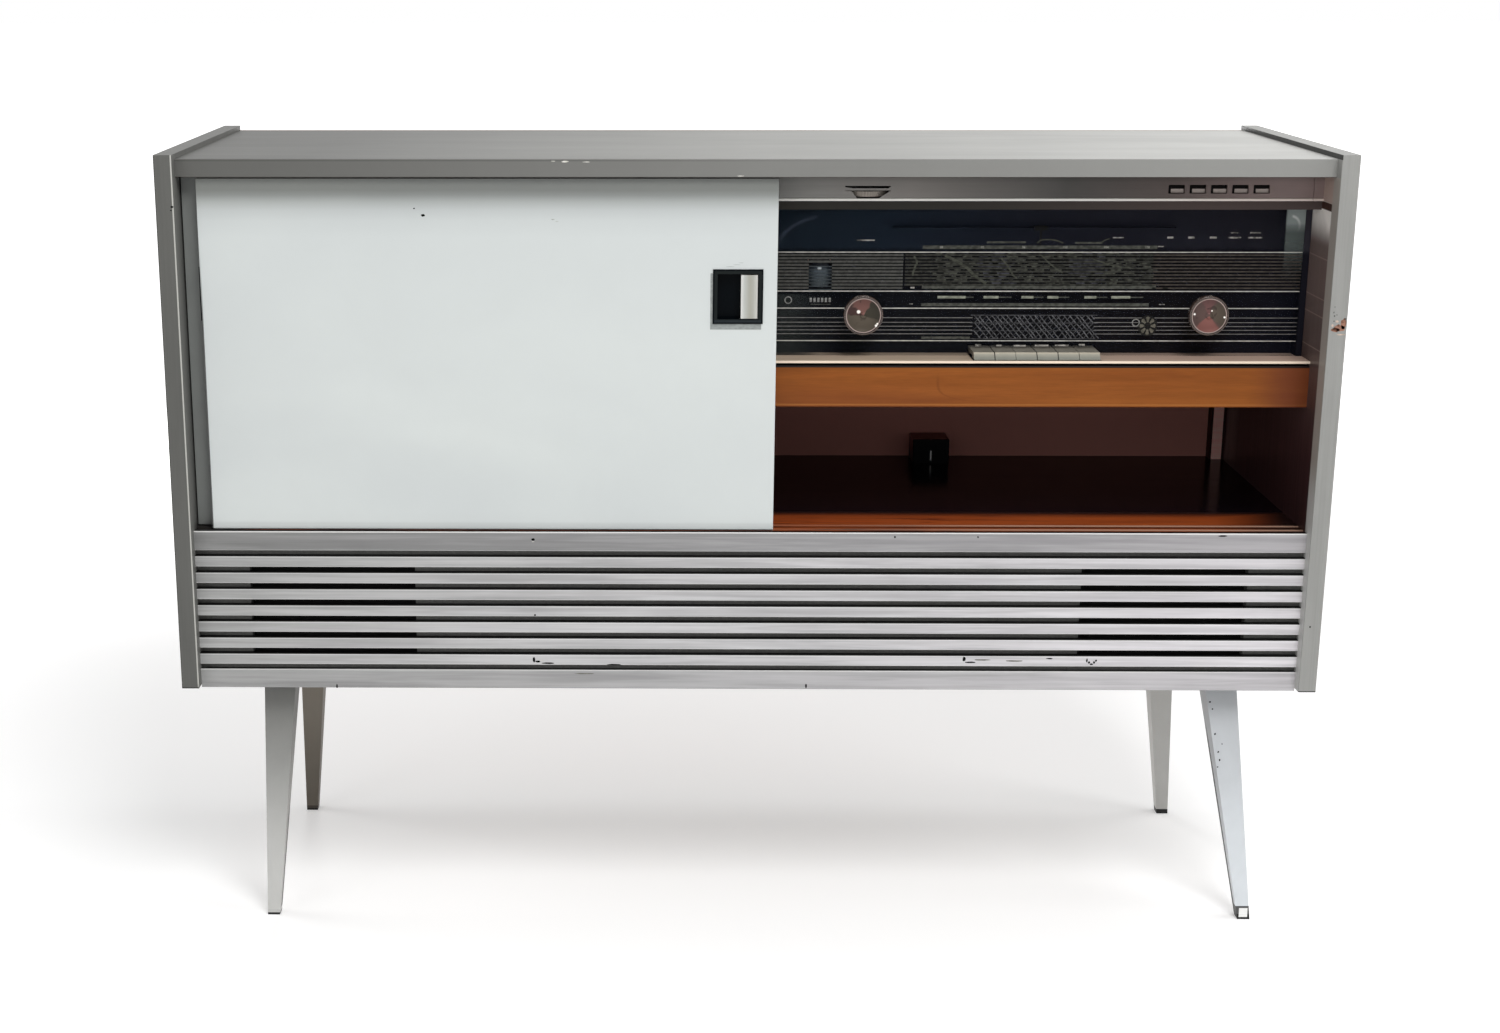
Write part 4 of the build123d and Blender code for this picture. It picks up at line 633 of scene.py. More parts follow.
# Painted light: the battens far paler than their wood, standing in for light inside the cabinet. The header
# batten is dark, partly its wood and partly painted shade; dark lines along the left and right edges of the
# right corner batten are painted shadow.
battens = wood("batten_wood", (250, 186, 176), (255, 206, 196), 0.5, Specular_IOR_Level=0.1)
header = battens.y.step(-0.08, -0.1) & battens.z.step(0.74, 0.75)
header_tone = battens.x.step(0.15, 0.5).mix((48, 46, 43), (76, 66, 64))
batten_edge = battens.x.step(0.5, 0.51) & (battens.x.step(0.5586, 0.5578) | battens.x.step(0.5694, 0.5702))
batten_colour = batten_edge.mix(battens.lift(battens.colour, 1.1), (40, 16, 15))
battens.set(Base_Color=header.mix(batten_colour, header_tone))
dress(battens.material, "wooden_battens")
dress(wood("bottom_wood", (96, 74, 52), (128, 100, 72), 0.7).material, "bottom_panel")
dress(wood("deck_board_wood", (62, 38, 24), (96, 62, 40), 0.5).material, "deck_board")


def board(name, dark, light):
    """Pressed hardboard: short fibres in every direction, matt."""
    s = Shader(name, Specular_IOR_Level=0.2)
    fibres = s.noise(260, detail=5.0, rough=0.7, distortion=1.2)
    patches = s.noise(3.0, detail=2.0)
    s.colour = s.lift(fibres.ramp((0.3, dark), (0.7, light)), patches.span(0.88, 1.1))
    s.set(Base_Color=s.colour, Roughness=fibres.span(0.62, 0.85))
    s.bump(fibres, 0.25, 0.0002)
    return s


BACK_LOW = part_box("back_panel")[0]
back = board("back_board", (128, 88, 66), (150, 108, 82))
# Painted light: the inner face paler and pinker than the outer face of the same board.
inside = back.y.past(BACK_LOW.y, 1.2, 0.4) & back.z.past(TOP_LOW.z, 0, -1)
back.set(Base_Color=inside.mix(back.colour, (196, 134, 124)))
dress(back.material, "back_panel")
dress(board("baffle_paint", (104, 104, 102), (124, 124, 121)).material, "speaker_baffle")
dress(board("rear_plate", (42, 30, 22), (60, 44, 32)).material, "rear_socket_plate")
dress(board("cone_paper", (34, 30, 27), (48, 43, 38)).material, "speaker_cones")

cloth = Shader("cloth_black")
weave = [axis.waves(0.0011) for axis in (cloth.x, cloth.z)]
thread = weave[0] * weave[1]
cloth.set(
    Base_Color=thread.span(0.5, 1.0).ramp((0.0, (10, 10, 10)), (1.0, (34, 33, 32))), Roughness=0.9,
    Sheen_Weight=0.3
)
cloth.bump(thread, 0.4, 0.0002)
dress(cloth.material, "speaker_cloth")


# ---------------------------------------------------------------- metal, plastic and glass
def metal(name, colour, roughness=0.3, stretch=(1, 1, 60), **sockets):
    """Bare or plated metal with fine scratches across the stretched axis."""
    s = Shader(name, Metallic=1.0, **sockets)
    scratch = s.noise(22, stretch, 4.0, 0.6)
    stain_map = s.noise(14, rough=0.6)
    s.set(
        Base_Color=s.lift(colour, scratch.span(0.88, 1.1) * stain_map.span(0.9, 1.06)),
        Roughness=scratch.span(max(roughness - 0.1, 0.05), roughness + 0.12)
    )
    s.bump(scratch, 0.08, 0.0001)
    return s.material


def enamel(name, colour, roughness=0.35, grain_scale=500, strength=0.12, metallic=0.0, **sockets):
    """Paint or moulded plastic with a fine even grain and faint cloudy dirt."""
    s = Shader(name, Metallic=metallic, **sockets)
    grain = s.noise(grain_scale, detail=2.0)
    cloud = s.noise(30, rough=0.6)
    s.set(
        Base_Color=s.lift(colour, cloud.span(0.9, 1.08)),
        Roughness=cloud.span(roughness - 0.06, roughness + 0.1)
    )
    s.bump(grain, strength, 0.0001)
    return s.material


dress(metal("screw_steel", (112, 110, 104), 0.45), "back_screws")
dress(metal("spindle_steel", (180, 180, 176), 0.25, (1, 60, 1)), "volume_spindle", "tuning_spindle")
dress(metal("motor_steel", (150, 150, 146), 0.35), "deck_motor")
dress(metal("capacitor_alu", (190, 191, 192), 0.3), "tuning_capacitor")
dress(metal("arm_steel", (206, 206, 204), 0.18), "tonearm_pivot")
dress(enamel("basket_steel", (70, 71, 73), 0.4), "speaker_baskets")
dress(enamel("magnet_iron", (46, 46, 47), 0.5, 260, 0.3), "speaker_magnets")
dress(enamel("leg_plate", (30, 30, 30), 0.45), "leg_plates")
dress(enamel("chassis_steel", (124, 126, 126), 0.35, 300, 0.1, 0.6), "tuner_chassis")
dress(enamel("transformer_iron", (50, 43, 37), 0.5, 200, 0.3), "mains_transformer")
BOX_LOW, BOX_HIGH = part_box("socket_box")
socket = Shader("socket_black", Specular_IOR_Level=0.04, Roughness=0.35)
socket_grain = socket.noise(400, detail=2.0)
# Painted, not reflected: the thin bright line down the middle of the box.
gleam = (
    socket.x.around((BOX_LOW.x + BOX_HIGH.x) / 2, -0.8, 0.8, 0.3) & socket.y.past(BOX_LOW.y, 0.8, 1.2)
    & socket.y.past(BOX_LOW.y, 2, 1.6)
)
# Painted reflection: behind its front the case shows brown on the top and on the left, lighter upwards.
case_reflection = (
    socket.y.past(BOX_LOW.y, 2.6, 3.4)
    & (socket.z.past(BOX_HIGH.z, -1.2, -0.4) | socket.x.past(BOX_LOW.x, 1.2, 0.4))
)
case_colour = case_reflection.mix(
    (3, 3, 4),
    socket.z.step(BOX_LOW.z, BOX_HIGH.z).ramp(
        (0.0, (30, 16, 16)), (0.9, (122, 76, 72)), (0.97, (128, 80, 76))
    )
)
socket.set(Base_Color=gleam.mix(socket.lift(case_colour, socket_grain.span(0.8, 1.2)), (255, 255, 255)))
socket.bump(socket_grain, 0.1, 0.0001)
dress(socket.material, "socket_box")
dress(enamel("arm_base_black", (22, 22, 23), 0.3), "tonearm_base")
dress(enamel("lever_black", (20, 20, 21), 0.3), "speed_lever")
dress(enamel("pointer_white", (40, 39, 36), 0.6, Specular_IOR_Level=0.1), "dial_pointer")
dress(enamel("deck_enamel", (206, 202, 186), 0.35, 240, 0.3), "deck_plate")

keys = Shader("key_beige", IOR=1.48)
KEY_LOW, KEY_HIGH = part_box("key_1")
rub = keys.noise(90)
# Painted light: the key fronts lighter upwards, their tops a darker flat tone.
rise = keys.z.step(KEY_LOW.z, KEY_HIGH.z)
key_face = rise.ramp((0.0, (118, 119, 110)), (0.55, (152, 149, 136)), (0.9, (190, 180, 160)))
key_top = keys.y.past(KEY_LOW.y, 6.2, 6.8)
KEY_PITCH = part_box("key_2")[0].x - KEY_LOW.x
seams = either(*(keys.x.around(KEY_LOW.x + i * KEY_PITCH, -0.7, 0.3, 0.2) for i in (1, 3, 4)))
keys.set(
    Base_Color=keys.lift(
        seams.mix(key_top.mix(key_face, (128, 124, 114)), (44, 42, 38)), rub.span(0.92, 1.08)
    ), Roughness=rub.span(0.3, 0.45)
)
keys.bump(rub, 0.05, 0.0002)
dress(keys.material, *[f"key_{i}" for i in range(1, 7)])

strip = Shader("strip_silver", Metallic=0.1, Specular_IOR_Level=0.15)
lines = strip.noise(9, (0.9, 60, 260), 4.0, 0.6)
smoke = strip.noise(11, (0.6, 1, 3), 3.0, 0.6, 0.5)
# Painted light: the strip darker in the middle and brownish towards the right, shade under the top panel on
# its upper part, and a pale highlight along its lower lip.
strip_base = (strip.x / INNER).ramp(
    (0.0, grey(140)), (0.28, (136, 132, 128)), (0.55, (86, 84, 82)), (0.74, (98, 88, 85)),
    (1.0, (146, 128, 125))
)
strip_base = strip.lift(strip_base, lines.span(0.9, 1.1) * smoke.span(0.82, 1.18))
strip_lip = strip.z.past(STRIP_LOW.z, 3, 2)
strip_lip_tone = strip.x.step(0.3, 0.55).mix((246, 244, 238), (228, 214, 206))
upper = strip.z.past(STRIP_HIGH.z, -10, -2)
strip_base = strip.lift(strip_base, ~(upper * 0.25))
strip.set(Base_Color=strip_lip.mix(strip_base, strip_lip_tone), Roughness=lines.span(0.34, 0.5))
strip.bump(lines, 0.06, 0.0002)
dress(strip.material, "control_strip")


# The buttons sit deep in their slots: painted shadow along the top and down one side, pale elsewhere.
buttons = Shader("button_pale", Specular_IOR_Level=0.04)
BUTTON_LOW, BUTTON_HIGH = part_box("button_1")
BUTTON_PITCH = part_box("button_2")[0].x - BUTTON_LOW.x
in_button = (buttons.x - (BUTTON_LOW.x - 0.0005)).repeats(BUTTON_PITCH)
grain = buttons.noise(300, detail=2.0)
shade = buttons.z.past(BUTTON_HIGH.z, -6, -5.4) | in_button.step(0.0053, 0.0047)
pale = buttons.lift((186, 174, 168), grain.span(0.9, 1.08))
buttons.set(Base_Color=shade.mix(pale, (5, 3, 3)), Roughness=grain.span(0.35, 0.5))
buttons.bump(grain, 0.08, 0.0001)
dress(buttons.material, *[f"button_{i}" for i in range(1, 6)])

wheel = Shader("wheel_black", Specular_IOR_Level=0.04)
ribs = wheel.noise(300, (1, 1, 0.05), 2.0)
# Painted shade: the wheel pale low down and near black towards the top of its slot.
wheel_rise = wheel.z.step(SLOT_LOW + 0.001, SLOT_HIGH - 0.001).ramp(
    (0.0, (186, 177, 168)), (0.52, (176, 168, 160)), (0.6, (60, 58, 56)), (0.72, (30, 29, 28)),
    (0.78, (6, 6, 6))
)
wheel.set(Base_Color=wheel.lift(wheel_rise, ribs.span(0.86, 1.06)), Roughness=ribs.span(0.4, 0.55))
wheel.bump(ribs, 0.2, 0.0002)
dress(wheel.material, "balance_wheel")

plate = Shader("plate_black", Roughness=0.6, Specular_IOR_Level=0.05)
plate_grain = plate.noise(600, detail=2.0)
# The plate behind the glass: bluish above, nearly black below, each with its own tones from left to right.
night = plate.z.step(at(104), at(112))
navy = (plate.x / INNER).ramp(
    (0.0, (46, 60, 71)), (0.25, (42, 53, 66)), (0.55, (47, 48, 58)), (1.0, (51, 49, 56))
)
low_tone = (plate.x / INNER).ramp(
    (0.0, (24, 27, 29)), (0.5, (24, 23, 23)), (0.8, (22, 19, 18)), (1.0, (22, 22, 30))
)
plate.set(Base_Color=plate.lift(night.mix(low_tone, navy), plate_grain.span(0.8, 1.2)))
plate.bump(plate_grain, 0.05, 0.0001)
dress(plate.material, "dial_plate")

glass = Shader("glass_dial", Roughness=0.5, Specular_IOR_Level=0.0)
smear = glass.noise(7, (1, 1, 2.0), 3.0, 0.6, 0.8)
GLASS_END = GLASS_HIGH.x
# Painted, not reflected: the lighter right end of the glass, the teal patch, the swirl and the glint.
bright_end = glass.x.past(GLASS_END, -19.6, -18.4) & glass.z.step(at(66), at(124))
bright_top = glass.x.past(GLASS_END, -19.6, -18.4) & glass.z.step(at(126), at(138))
teal = glass.x.step(0.092, 0.04) & glass.z.step(at(66), at(62)) & glass.x.step(0.026, 0.032)


def arc(centre_x, centre_z, wide, tall, thick, limit_x, limit_z):
    """A soft elliptical line on the glass, kept where X is below one limit and Z above the other."""
    off_x = (glass.x - centre_x) / wide
    off_z = (glass.z - centre_z) / tall
    away = (off_x * off_x + off_z * off_z) ** 0.5
    return (
        away.within(1 - thick, 1 + thick, thick) & glass.x.past(limit_x, 6, -6)
        & glass.z.past(limit_z, -10, 10)
    )


swirl = arc(0.094, at(112), 0.064, 0.034, 0.05, 0.070, at(118))
glint = (
    arc(GLASS_END - 0.0145, at(134), 0.009, 0.01, 0.12, GLASS_END, at(137))
    & glass.x.past(GLASS_END, -15, -12)
)
glass_colour = smear.ramp((0.3, (16, 20, 32)), (0.7, (26, 30, 42)))
glass_colour = layers(
    glass_colour,
    (teal, (50, 54, 54)), (swirl, (84, 94, 112)), (bright_end, (96, 104, 102)),
    (bright_top, (158, 168, 166)), (glint, (232, 236, 234)),
)
cover = smear.span(0.1, 0.16) | bright_end * 0.75 | bright_top * 0.95 | teal * 0.5 | swirl * 0.36 | glint
glass.set(Base_Color=glass_colour, Alpha=cover)
dress(glass.material, "dial_glass")

valve = Shader("valve_glass", Transmission_Weight=1.0, IOR=1.4, Roughness=0.03)
getter = valve.noise(40, detail=2.0)
valve.set(Base_Color=getter.ramp((0.3, (200, 208, 214)), (0.7, (232, 236, 238))))
dress(valve.material, "radio_valves")

EYE_LOW, EYE_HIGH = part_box("magic_eye")
EYE_X, EYE_Z = (EYE_LOW.x + EYE_HIGH.x) / 2, (EYE_LOW.z + EYE_HIGH.z) / 2
eye = Shader("eye_glass", IOR=1.5, Specular_IOR_Level=0.1, Coat_Weight=0.1, Coat_Roughness=0.05)
# Painted shade: the eye darker towards its sides and its top.
across_eye = abs(eye.x - EYE_X).step(0.0118, 0.004)
up_eye = eye.z.step(EYE_LOW.z, EYE_HIGH.z)
eye_tone = up_eye.ramp(
    (0.0, (84, 92, 96)), (0.25, (92, 101, 106)), (0.6, (96, 106, 114)), (0.8, (66, 72, 78)),
    (0.92, (44, 47, 50)), (1.0, (38, 39, 39))
)
eye_fine = eye.noise(60, (1, 1, 0.3))
# Painted, not reflected: the bright spot above the middle of the eye.
shine = eye.x.around(EYE_X, -2.4, 1, 1) & eye.z.around(EYE_Z, 3.6, 6, 1.2)
eye_side = abs(eye.x - EYE_X) / 0.012
dome = EYE_HIGH.z - 0.0022 - eye_side ** 2.4 * 0.0085
foot = EYE_LOW.z + eye_side ** 3.0 * 0.0045
round_end = (eye.z - dome).step(-0.0004, 0.0008) | (foot - eye.z).step(-0.0004, 0.0006)
eye_tone = layers(eye_tone, (shine, (226, 236, 240)), (round_end, (44, 41, 44)))
eye.set(
    Base_Color=eye.lift(eye_tone, across_eye.span(0.62, 1.1) * eye_fine.span(0.9, 1.1)),
    Roughness=eye_fine.span(0.12, 0.24)
)
dress(eye.material, "magic_eye")

platter = Shader("platter_alu", Metallic=1.0)
PLATTER_X, PLATTER_Y = (PLATTER_LOW.x + PLATTER_HIGH.x) / 2, (PLATTER_LOW.y + PLATTER_HIGH.y) / 2
centred = platter.vector("SUBTRACT", platter.place, (PLATTER_X, PLATTER_Y, 0))
radius = platter.length(platter.vector("MULTIPLY", centred, (1, 1, 0)))
turned = radius.waves(0.0006)
platter.set(
    Base_Color=platter.lift((186, 187, 187), platter.noise(30).span(0.9, 1.08)),
    Roughness=turned.span(0.26, 0.32)
)
platter.bump(turned, 0.08, 0.0001)
dress(platter.material, "platter")

arm = Shader("arm_grey", Metallic=0.85)
arm_scratch = arm.noise(30, (30, 1, 30))
shell = arm.y.past(ARM_LOW.y, 43, 41)
arm_colour = shell.mix((168, 167, 160), (52, 52, 53))
arm.set(
    Base_Color=arm.lift(arm_colour, arm_scratch.span(0.9, 1.08)), Roughness=arm_scratch.span(0.22, 0.36)
)
dress(arm.material, "tonearm")

knob = Shader("knob_clear", Transmission_Weight=0.45, IOR=1.49)
knob_cloud = knob.noise(160)
knob.set(
    Base_Color=knob_cloud.ramp((0.3, (80, 64, 56)), (0.7, (104, 86, 78))),
    Roughness=knob_cloud.span(0.08, 0.2)
)
dress(knob.material, "volume_knob", "tuning_knob")


# ---------------------------------------------------------------- building pieces
def riding(name, mesh, body):
    """A new object that moves with a CAD body."""
    made = link(name, mesh)
    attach(made, body)
    return made


def piece(name, mesh_data, body, material, smooth=False):
    """A new object from (vertices, faces), riding on a CAD body."""
    mesh = bpy.data.meshes.new(name)
    mesh.from_pydata([tuple(v) for v in mesh_data[0]], [], mesh_data[1])
    mesh.validate()
    work = bmesh.new()
    work.from_mesh(mesh)
    bmesh.ops.recalc_face_normals(work, faces=work.faces)
    work.to_mesh(mesh)
    work.free()
    if smooth:
        mesh.shade_smooth()
        mesh.set_sharp_from_angle(angle=math.radians(35))
    mesh.materials.append(material)
    return riding(name, mesh, body)


class Solids:
    """Vertices and faces of many small closed solids."""

    def __init__(self):
        self.vertices, self.faces = [], []

    @property
    def data(self):
        return self.vertices, self.faces

    def prism(self, loop, push):
        """A closed loop of points and the same loop pushed along a vector."""
        start, count = len(self.vertices), len(loop)
        loop = [Vector(p) for p in loop]
        self.vertices += loop + [p + Vector(push) for p in loop]
        self.faces.append(tuple(range(start, start + count)))
        self.faces.append(tuple(range(start + 2 * count - 1, start + count - 1, -1)))
        for i in range(count):
            j = (i + 1) % count
            self.faces.append((start + j, start + i, start + count + i, start + count + j))

    def box(self, x0, x1, y0, y1, z0, z1):
        self.prism([(x0, y0, z0), (x1, y0, z0), (x1, y0, z1), (x0, y0, z1)], (0, y1 - y0, 0))

    def stroke(self, points, width, y, thickness):
        """A flat line through points (x, z) on the plane at y, standing out towards the front."""
        for (xa, za), (xb, zb) in zip(points, points[1:]):
            run = Vector((xb - xa, 0, zb - za))
            if run.length < 1e-6:
                continue
            side_way = Vector((-run.z, 0, run.x)).normalized() * width / 2
            a, b = Vector((xa, y, za)), Vector((xb, y, zb))
            self.prism([a - side_way, b - side_way, b + side_way, a + side_way], (0, -thickness, 0))


def lathe(profile, centre, axis, steps=96):
    """Vertices and faces of (radius, height) points turned about an axis; radius 0 closes an end."""
    turn = Vector((0, 0, 1)).rotation_difference(Vector(axis)).to_matrix()
    vertices, faces, rings = [], [], []
    for r, h in profile:
        if r < 1e-9:
            rings.append([len(vertices)])
            vertices.append(Vector(centre) + turn @ Vector((0, 0, h)))
            continue
        rings.append(list(range(len(vertices), len(vertices) + steps)))
        for a in circle(steps):
            vertices.append(Vector(centre) + turn @ Vector((r * math.cos(a), r * math.sin(a), h)))
    for low, high in zip(rings, rings[1:]):
        for i in range(steps):
            j = (i + 1) % steps
            if len(low) == 1 and len(high) > 1:
                faces.append((low[0], high[j], high[i]))
            elif len(high) == 1 and len(low) > 1:
                faces.append((low[i], low[j], high[0]))
            elif len(low) > 1:
                faces.append((low[i], low[j], high[j], high[i]))
    return vertices, faces


def digits(name, entries, size, body, material, depth=0.0001):
    """Numbers as one flat mesh: (text, centre, rotation matrix) each."""
    parts = []
    for text, centre, turn in entries:
        curve = bpy.data.curves.new(name, "FONT")
        curve.body, curve.size, curve.extrude = text, size, depth / 2
        curve.align_x, curve.align_y = "CENTER", "CENTER"
        curve.resolution_u = 2
        holder = link(name, curve)
        bpy.context.view_layer.update()
        mesh = bpy.data.meshes.new_from_object(holder.evaluated_get(bpy.context.evaluated_depsgraph_get()))
        mesh.transform(Matrix.Translation(centre) @ turn)
        parts.append(mesh)
        bpy.data.objects.remove(holder)
        bpy.data.curves.remove(curve)
    work = bmesh.new()
    for mesh in parts:
        work.from_mesh(mesh)
        bpy.data.meshes.remove(mesh)
    mesh = bpy.data.meshes.new(name)
    work.to_mesh(mesh)
    work.free()
    mesh.materials.clear()
    mesh.materials.append(material)
    return riding(name, mesh, body)


UPRIGHT = Matrix.Rotation(math.radians(90), 4, "X")


# ---------------------------------------------------------------- dial print, on the front of the glass
def ink(name, colour, roughness=0.5, patchy=0.18):
    """Screen-printed ink, more or less uneven."""
    s = Shader(name, Specular_IOR_Level=0.1)
    uneven = s.noise(420, (0.5, 1, 0.8), 3.0, 0.6)
    patch = uneven.step(0.36, 0.64)
    s.set(Base_Color=s.lift(colour, patch.span(1 - patchy, 1 + patchy)), Roughness=roughness)
    s.bump(uneven, 0.1, 0.0001)
    return s.material


INK_LINE = ink("ink_line", (182, 180, 174))
INK_BAR = ink("ink_bar", (68, 69, 64), patchy=0.35)
INK_DASH = ink("ink_dash", (126, 128, 116), patchy=0.3)
INK_FINE = ink("ink_fine", (114, 112, 110))
PRINT_Y = GLASS_Y - 0.00005
PRINT = 0.00010
LEFT, RIGHT = GLASS_LOW.x + 0.0006, GLASS_HIGH.x - 0.0006
DIAL_ROW = 285
WINDOW_LEFT, WINDOW_RIGHT = 0.159, 0.414


def px(u):
    """X place on the glass of a column of the front view, taken at the middle of the dial."""
    origin, direction = sight(u, DIAL_ROW)
    return (origin + direction * ((GLASS_Y - origin.y) / direction.y)).x


def on_glass(name, solids, material):
    """A printed piece that stays with the dial glass."""
    return piece(name, solids.data, "cabinet", material)


def printed(name, strokes, material, lift=0.0):
    """Flat printed bars: (x from, x to, height of the middle in mm above the shelf, thickness in mm) each."""
    solids = Solids()
    for x0, x1, height_mm, thick_mm in strokes:
        solids.box(
            x0, x1, PRINT_Y - lift - PRINT, PRINT_Y - lift, at(height_mm - thick_mm / 2),
            at(height_mm + thick_mm / 2)
        )
    return piece(name, solids.data, "cabinet", material)


printed("dial_bright_lines", [(LEFT, RIGHT, h, 1.0) for h in BRIGHT_LINES], INK_LINE)
STRIPE_PITCH = 3.4
STRIPES = [70.3 + i * STRIPE_PITCH for i in range(11)]
EYE_EDGES = EYE_X - 0.0118, EYE_X + 0.0118
printed(
    "dial_stripes_left",
    [
        bar for level in STRIPES
        for bar in (
            [(LEFT, WINDOW_LEFT - 0.001, level, 2.2)] if at(level) > EYE_HIGH.z - 0.003
            else [(LEFT, EYE_EDGES[0], level, 2.2), (EYE_EDGES[1], WINDOW_LEFT - 0.001, level, 2.2)]
        )
    ], ink("ink_stripes_left", (70, 70, 67), patchy=0.2)
)
printed(
    "dial_stripes_eye",
    [(*EYE_EDGES, level - 1.7, 0.9) for level in STRIPES if at(level) < EYE_HIGH.z - 0.003],
    ink("ink_stripes_eye", (62, 68, 71), patchy=0.2)
)
printed(
    "dial_stripes_window", [(WINDOW_LEFT + 0.001, WINDOW_RIGHT, level, 1.9) for level in STRIPES[1:]],
    ink("ink_stripes_window", (46, 46, 42), patchy=0.45)
)
printed(
    "dial_stripes_right", [(WINDOW_RIGHT, RIGHT, level, 1.5) for level in STRIPES],
    ink("ink_stripes_right", (62, 57, 52), patchy=0.25)
)
FINE_LEVELS = (22.6, 26.6, 30.5, 34.6, 39.4)
HATCH_LEFT, HATCH_RIGHT, HATCH_LOW, HATCH_HIGH = px(972), px(1096), 18.0, 42.0
printed(
    "dial_fine_lines",
    [
        bar for level in FINE_LEVELS
        for bar in ((LEFT, HATCH_LEFT + 0.002, level, 0.7), (HATCH_RIGHT, RIGHT, level, 0.7))
    ], INK_FINE
)
printed(
    "dial_bars",
    [
        (px(921.5), px(1155), 112.3, 3.6), (px(922), px(1156), 71.4, 3.8), (px(922), px(1150), 53.0, 3.2),
        (px(923), px(972), 18.6, 2.4), (px(985), px(1024), 117.4, 2.0), (px(1073), px(1100), 116.8, 2.0)
    ], INK_BAR
)
printed(
    "dial_dashes",
    [
        (px(a), px(b), 60.8, 2.6)
        for a, b in ((938, 966), (984, 999), (1022, 1034), (1048, 1059), (1085, 1097), (1112, 1131))
    ], INK_DASH
)
printed(
    "dial_dash_tails",
    [
        (px(a), px(b), 60.8, 1.2)
        for a, b in ((966, 974), (999, 1012), (1034, 1044), (1059, 1070), (1097, 1108), (1131, 1144))
    ], INK_BAR
)

# Names on the scale are left off: short uneven bars stand in their columns.
rng = random.Random(7)
marks, blue_marks = [], []
for row in range(10):
    x = px(932) + rng.random() * 0.006
    while x < px(1150):
        long = 0.004 + rng.random() * 0.010
        if rng.random() < 0.62:
            bluish = px(975) < x < px(1005) or px(1070) < x < px(1100)
            (blue_marks if bluish else marks).append((
                x, min(x + long, px(1156)), 75.4 + row * STRIPE_PITCH, 0.7 + rng.random() * 0.6
            ))
        x += long + 0.003 + rng.random() * 0.006
printed("dial_scale_marks", marks, ink("ink_marks", (58, 59, 53), patchy=0.6), PRINT)
printed(
    "dial_scale_marks_blue",
    blue_marks
    + [(px(975 + 3 * (i % 2)), px(1006 + 4 * (i % 3)), 89.0 + i * STRIPE_PITCH, 0.9) for i in range(4)]
    + [(px(1068 + 4 * (i % 2)), px(1104 + 3 * (i % 2)), 85.6 + i * STRIPE_PITCH, 0.8) for i in range(5)],
    ink("ink_marks_blue", (50, 50, 56), patchy=0.5), PRINT
)

curves = Solids()


def curve_through(points, width):
    """A printed line with rounded turns through (column, height) points."""
    places = [(px(u), at(h)) for u, h in points]
    for _ in range(2):
        finer = [places[0]]
        for (xa, za), (xb, zb) in zip(places, places[1:]):
            finer += [
                (xa * 0.75 + xb * 0.25, za * 0.75 + zb * 0.25),
                (xa * 0.25 + xb * 0.75, za * 0.25 + zb * 0.75)
            ]
        places = finer + [places[-1]]
    curves.stroke(places, width, PRINT_Y - 2 * PRINT, PRINT)


curve_through([(944, 104), (954, 99), (966, 92), (974, 83), (986, 75)], 0.0028)
curve_through([(913, 103), (917, 97), (914, 92), (912, 83)], 0.0020)
curve_through([(1000, 101), (1008, 92), (1012, 84), (1017, 80)], 0.0017)
curve_through([(1040, 104), (1050, 94), (1062, 86)], 0.0014)
curve_through([(1092, 100), (1112, 93), (1130, 91)], 0.0014)
curve_through([(1035, 116.6), (1039, 120.2), (1052, 120.2), (1061, 116.6)], 0.0014)
curve_through([(1098, 117), (1104, 120.5), (1107, 121)], 0.0012)
on_glass("dial_curves", curves, ink("ink_curves", (60, 61, 54), patchy=0.3))

hatch, hatch_faint = Solids(), Solids()
CELLS = 22
for solids, lean, width in ((hatch, -1, 0.0010), (hatch_faint, 1, 0.0007)):
    for i in range(-4, CELLS + 5):
        start = HATCH_LEFT + (i + rng.random() * 0.5) * (HATCH_RIGHT - HATCH_LEFT) / CELLS
        steps = []
        for j in range(7):
            t = j / 6
            x = start + lean * (t - 0.5) * 0.021 + (rng.random() - 0.5) * 0.0009
            limit = HATCH_LEFT + (1 - t) * 0.004, HATCH_RIGHT + (1 - t) * 0.006
            if limit[0] <= x <= limit[1]:
                steps.append((x, at(HATCH_LOW + t * (HATCH_HIGH - HATCH_LOW))))
        solids.stroke(steps, width, PRINT_Y - (0 if lean < 0 else PRINT), PRINT)
for level in (HATCH_LOW - 0.4, 26.0, 34.0, HATCH_HIGH + 0.2):
    hatch_faint.stroke(
        [(HATCH_LEFT, at(level)), (HATCH_RIGHT + 0.003, at(level))], 0.0008, PRINT_Y - PRINT, PRINT
    )
on_glass("dial_hatch", hatch, ink("ink_hatch", (86, 86, 88), patchy=0.5))
on_glass("dial_hatch_faint", hatch_faint, ink("ink_hatch_faint", (66, 66, 68), patchy=0.5))

